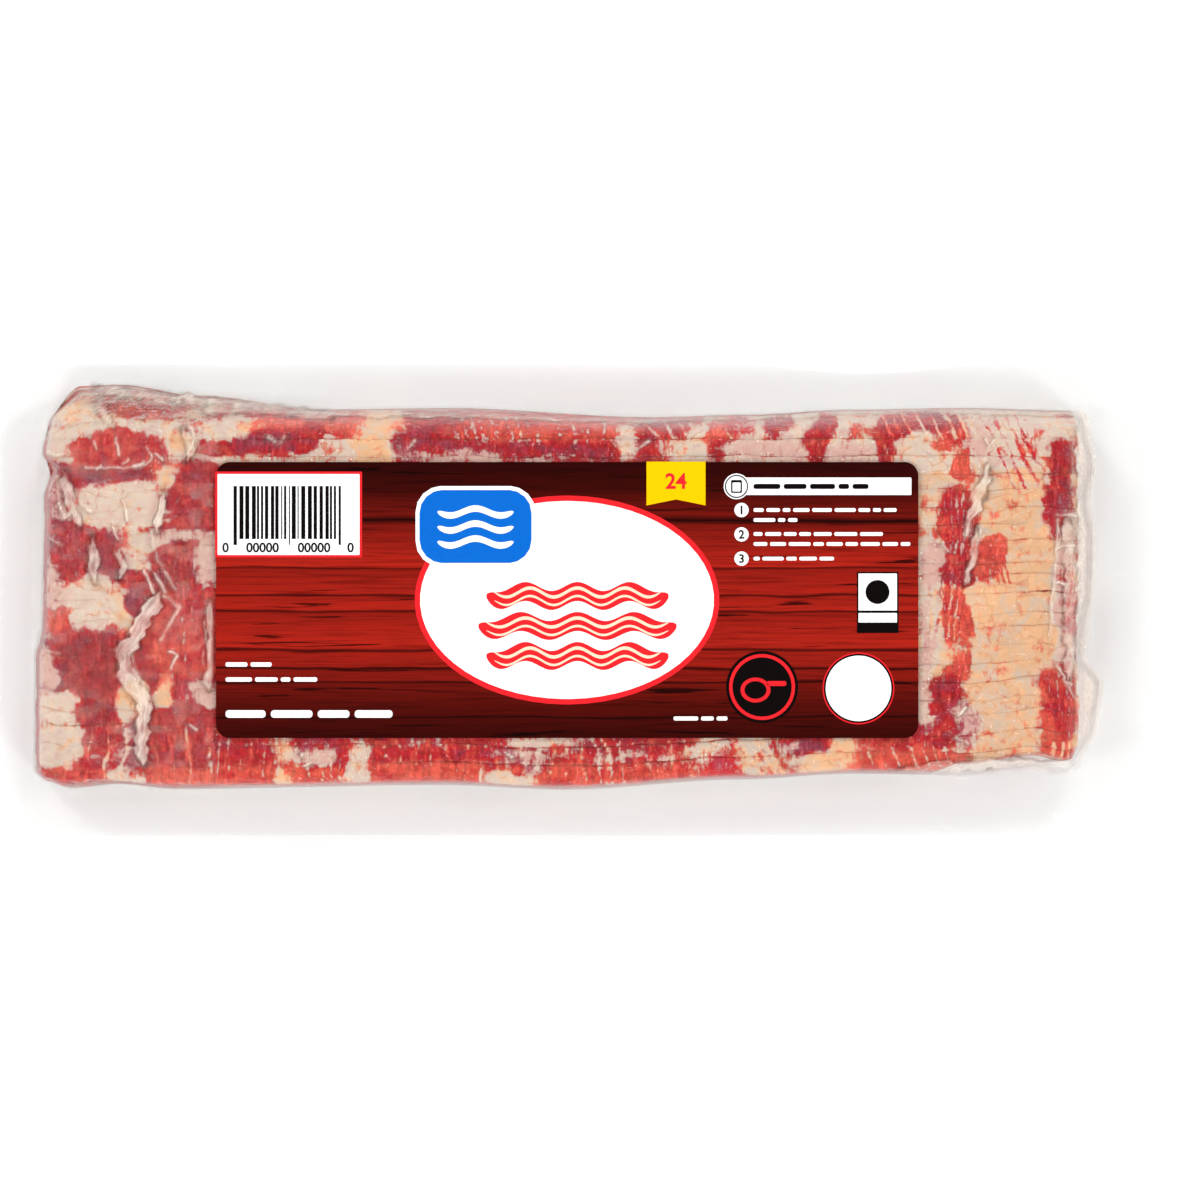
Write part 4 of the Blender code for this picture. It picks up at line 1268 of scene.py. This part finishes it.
def make_print(settings):
    """All that is printed on the boards, as thin plates grouped by colour, and plain numbers. Each
    group of plates has its name, layer, ink and shapes."""
    codes = {"white": "#FFFFFF", "black": "#0B0606", "red": "#E3242B", "blue": "#0A66C8",
             "yellow": "#FFC200", "cream": "#F6D9BE"}
    inks = {name: ink_material(name + "_ink", code, settings) for name, code in codes.items()}
    pieces = []

    def plates(name, layer, ink, *grids, around=False):
        pieces.append(add_print(name, grids, layer, inks[ink], around))

    def numeral(name, text, column, row, height, layer, ink):
        pieces.append(add_numeral(name, text, column, row, height, layer, inks[ink]))

    plates("code_panel_rim", 1, "red", box_print(214.5, 361.5, 471.5, 557.5, 1.0))
    plates("code_panel", 2, "white", box_print(217, 359, 474, 555, 1.0))
    plates("code_bars", 3, "black", *code_bars())
    for index, (digits, column) in enumerate((("0", 225), ("00000", 262), ("00000", 313.5), ("0", 350))):
        numeral(f"code_digits_{index + 1}", digits, column, 547.5, 9.6, 3, "black")

    lean, fat = rashers()
    plates("badge_oval_rim", 1, "red", oval_print(566.5, 600, 152.5, 104.5))
    plates("badge_oval", 2, "white", oval_print(566.5, 600, 147, 99))
    plates("rasher_red", 3, "red", *lean)
    plates("rasher_fat", 4, "cream", *fat)
    plates("corner_badge_rim", 3, "white", box_print(415, 535, 486, 567, 26, 24, 10))
    plates("corner_badge", 4, "blue", box_print(419, 531, 490, 563, 23, 24, 10))
    waves = [wave_print(437, 513, row, 6.5, 3.5, 1.5, 40) for row in (512, 527, 542)]
    plates("corner_badge_waves", 5, "white", *waves)
    plates("weight_tag", 1, "yellow", *tag_plates())
    numeral("weight_number", "24", 675.5, 481, 15.5, 2, "red")

    plates("heading_bar", 1, "white", box_print(735, 911, 477.5, 495, 1.2, 16, 3))
    plates("heading_words", 2, "black", *line_of_words(753, 868, 486.4, 8.4, 21))
    discs = [round_print(736, 486.4, 12.9, 14), *(round_print(741, row, 7.2, 12) for row in STEP_ROWS)]
    plates("number_discs", 2, "white", *discs)
    plates("heading_disc_ring", 3, "black", ring_print(736, 486.4, 11.6, 10.4), around=True)
    plates("heading_mark", 3, "black", box_print(730.5, 741.5, 480, 493, 1.5, 4, 3))
    plates("heading_mark_inner", 4, "white", box_print(732, 740, 482.5, 491.5, 1.0, 4, 3))
    for index, row in enumerate(STEP_ROWS):
        numeral(f"step_number_{index + 1}", str(index + 1), 741, row, 8.6, 3, "black")
    words = [bar for line in WORD_LINES for bar in line_of_words(*line)]
    plates("word_bars", 1, "white", *words)

    plates("care_panel", 1, "black", box_print(856.5, 898, 572, 633, 0.6, 6, 4))
    boxes = [box_print(858, 896.5, 573.5, 610.5, 0.5, 6, 4), box_print(858, 896.5, 613, 622.5, 0.5, 6, 2)]
    plates("care_panel_white", 2, "white", *boxes)
    plates("care_panel_dot", 3, "black", round_print(877, 592, 12, 14))
    plates("picture_disc", 1, "black", round_print(761.6, 687, 36))
    plates("picture_ring", 2, "red", ring_print(761.6, 687, 33, 29.6), around=True)
    pan = [oval_print(755, 690, 15, 12.5, 18, 18), box_print(766, 786, 681, 686, 2.2, 6, 3)]
    plates("picture_pan", 2, "red", *pan)
    plates("picture_pan_inner", 3, "black", oval_print(755, 690, 11, 8.8, 16, 16))
    plates("stamp_rim_red", 1, "red", round_print(858, 688.4, 36))
    plates("stamp_rim_black", 2, "black", round_print(858, 688.4, 34.6))
    plates("stamp_disc", 3, "white", round_print(858, 688.4, 32.8))
    return pieces


# The stage

# The floor's side, and how far it lies below the pack
FLOOR_SIZE, FLOOR_DROP = 3000.0, 0.02
# Soft boxes: how many, their distance from the pack, their height angle, the first one's
# direction and their side
LIGHT_COUNT, LIGHT_DISTANCE, LIGHT_ANGLE, LIGHT_TURN, LIGHT_SIZE = 6, 2350.0, 44.0, 12.0, 450.0
# Brightness of the sky straight above, as a share of its brightness near the horizon
SKY_ZENITH = 0.2


def make_floor(settings):
    """A plain pale floor of matt paper, very slightly flecked."""
    material, tree, surface = new_material("pale_paper")
    where = add(tree, "TexCoord").outputs["Object"]
    at_fleck = add(tree, "Mapping", {"Vector": where, "Scale": unit_sizes(50, 50, 50)})
    fleck = add(tree, "TexNoise", {"Vector": at_fleck, "Scale": 1, "Detail": 2})
    paper = np.array(settings.floor_colour)
    pale = add(tree, "ValToRGB", [fleck], ((0.3, tuple(paper * 0.99)), (0.7, tuple(paper))))
    shader = add(tree, "BsdfPrincipled", {"Base Color": pale, "Roughness": 0.9})
    tree.links.new(shader.outputs["BSDF"], surface)
    edge = np.linspace(-0.5, 0.5, 3) * FLOOR_SIZE
    x, y = np.meshgrid(edge, edge)
    points = np.stack([x, y, 0 * x - FLOOR_DROP], -1).reshape(-1, 3)
    add_mesh("floor", points, [grid_faces(3, 3)], material)


def make_lights(settings):
    """Soft boxes in a ring round the pack, all well off the camera's axis, and a pale sky that is
    dimmer straight above, so that the film mirrors little of it."""
    angle = math.radians(LIGHT_ANGLE)
    for index in range(LIGHT_COUNT):
        turn = math.radians(LIGHT_TURN + 360 * index / LIGHT_COUNT)
        light = bpy.data.lights.new(f"soft_box_{index + 1}", "AREA")
        light.size = LIGHT_SIZE * MM
        light.energy = settings.light_power
        holder = bpy.data.objects.new(light.name, light)
        bpy.context.scene.collection.objects.link(holder)
        flat = math.cos(angle)
        way = np.array([math.cos(turn) * flat, math.sin(turn) * flat, math.sin(angle)])
        holder.location = way * LIGHT_DISTANCE * MM
        holder.rotation_euler = (-holder.location).to_track_quat("-Z", "Y").to_euler()
    world = bpy.data.worlds.new("pale_sky")
    bpy.context.scene.world = world
    world.use_nodes = True
    tree = world.node_tree
    tree.nodes.clear()
    way = add(tree, "TexCoord").outputs["Generated"]
    up = add(tree, "SeparateXYZ", [way]).outputs["Z"]
    strengths = [up, 0.35, 0.95, settings.sky_strength, settings.sky_strength * SKY_ZENITH]
    strength = add(tree, "MapRange", strengths, interpolation_type="SMOOTHSTEP")
    background = add(tree, "Background", [(1, 1, 1, 1), strength])
    add(tree, "OutputWorld", [background])


def make_camera():
    """Straight above the pack, as in the photograph: the film just fills the frame's width."""
    camera = bpy.data.cameras.new("camera")
    camera.sensor_fit = "HORIZONTAL"
    camera.angle = 2 * math.atan(PHOTO_SCALE * PHOTO_HALF_WIDTH / CAMERA_HEIGHT)
    holder = bpy.data.objects.new("camera", camera)
    holder.location = (0, 0, CAMERA_HEIGHT * MM)
    bpy.context.scene.collection.objects.link(holder)
    bpy.context.scene.camera = holder
    bpy.context.scene.view_settings.view_transform = "Standard"


# The add-on


def colour_setting(name, description, code):
    """A colour that a user may change, from its sRGB hex value."""
    return FloatVectorProperty(name=name, description=description, default=linear(code),
                               subtype="COLOR", size=3, min=0.0, max=1.0)


class BaconPackSettings(bpy.types.PropertyGroup):
    """Sizes and colours that a user may change before making the pieces."""

    slice_relief: FloatProperty(
        name="Slice relief", description="How far a slice's edge rises and falls, in millimetres",
        default=0.35, min=0.0, max=1.0,
    )
    lean_colour: colour_setting("Lean", "Colour of plain lean meat", "#AA171F")
    fat_colour: colour_setting("Fat", "Colour of plain fat", "#DAC6B4")
    # The milky film colour also shows the painted highlights along creases and folds and the painted sheen
    # over the left end.
    film_colour: colour_setting("Milky film", "Colour of the film where it is creased", "#FDF5E6")
    label_colour: colour_setting("Label", "Colour of the printed boards", "#CC2A1C")
    label_roughness: FloatProperty(
        name="Label roughness", description="Roughness of the printed surface",
        default=0.32, min=0.0, max=1.0, subtype="FACTOR",
    )
    floor_colour: colour_setting("Floor", "Colour of the paper under the pack", "#F8FAFA")
    light_power: FloatProperty(
        name="Light power", description="Power of each soft box",
        default=9.4, min=0.0, max=100.0, unit="POWER",
    )
    sky_strength: FloatProperty(
        name="Sky strength", description="Brightness of the sky near the horizon",
        default=1.15, min=0.0, max=5.0,
    )


def carry(piece, node):
    """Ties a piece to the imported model: it rides the one body and stands for one node."""
    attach(piece, "root")
    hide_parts(node)


class BACON_OT_slices(bpy.types.Operator):
    """Makes the leaning slices of bacon"""

    bl_idname = "bacon.slices"
    bl_label = "Slices"

    def execute(self, context):
        settings = context.scene.bacon_pack
        material = meat_material(settings)
        for number in range(1, SLICE_COUNT + 1):
            carry(make_slice(number, settings.slice_relief, material), "sealed_pouch")
        return {"FINISHED"}


class BACON_OT_film(bpy.types.Operator):
    """Makes the clear film over and under the slices"""

    bl_idname = "bacon.film"
    bl_label = "Film"

    def execute(self, context):
        material = film_material(context.scene.bacon_pack)
        for piece in [*make_front_film(material), make_back_film(material)]:
            carry(piece, "sealed_pouch")
        return {"FINISHED"}


class BACON_OT_label(bpy.types.Operator):
    """Makes the label's sheet"""

    bl_idname = "bacon.label"
    bl_label = "Label"

    def execute(self, context):
        carry(make_label(label_material(context.scene.bacon_pack)), "front_label")
        return {"FINISHED"}


class BACON_OT_print(bpy.types.Operator):
    """Makes the shapes printed on the label"""

    bl_idname = "bacon.print"
    bl_label = "Label print"

    def execute(self, context):
        for piece in make_print(context.scene.bacon_pack):
            carry(piece, "front_label")
        return {"FINISHED"}


class BACON_OT_stage(bpy.types.Operator):
    """Sets up the floor, the lights and the camera"""

    bl_idname = "bacon.stage"
    bl_label = "Stage"

    def execute(self, context):
        settings = context.scene.bacon_pack
        make_floor(settings)
        make_lights(settings)
        make_camera()
        return {"FINISHED"}


OPERATORS = (BACON_OT_slices, BACON_OT_film, BACON_OT_label, BACON_OT_print, BACON_OT_stage)


class BACON_PT_pack(bpy.types.Panel):
    """Lists the settings and the operators"""

    bl_idname = "BACON_PT_pack"
    bl_label = "Bacon Pack"
    bl_space_type = "VIEW_3D"
    bl_region_type = "UI"
    bl_category = "Bacon Pack"

    def draw(self, context):
        for name in BaconPackSettings.__annotations__:
            self.layout.prop(context.scene.bacon_pack, name)
        for operator in OPERATORS:
            self.layout.operator(operator.bl_idname)


CLASSES = (BaconPackSettings, *OPERATORS, BACON_PT_pack)


def register():
    for kind in CLASSES:
        bpy.utils.register_class(kind)
    bpy.types.Scene.bacon_pack = PointerProperty(type=BaconPackSettings)


def unregister():
    del bpy.types.Scene.bacon_pack
    for kind in reversed(CLASSES):
        bpy.utils.unregister_class(kind)


def main():
    register()
    bpy.ops.bacon.slices()
    bpy.ops.bacon.film()
    bpy.ops.bacon.label()
    bpy.ops.bacon.print()
    bpy.ops.bacon.stage()


if __name__ == "__main__":
    main()
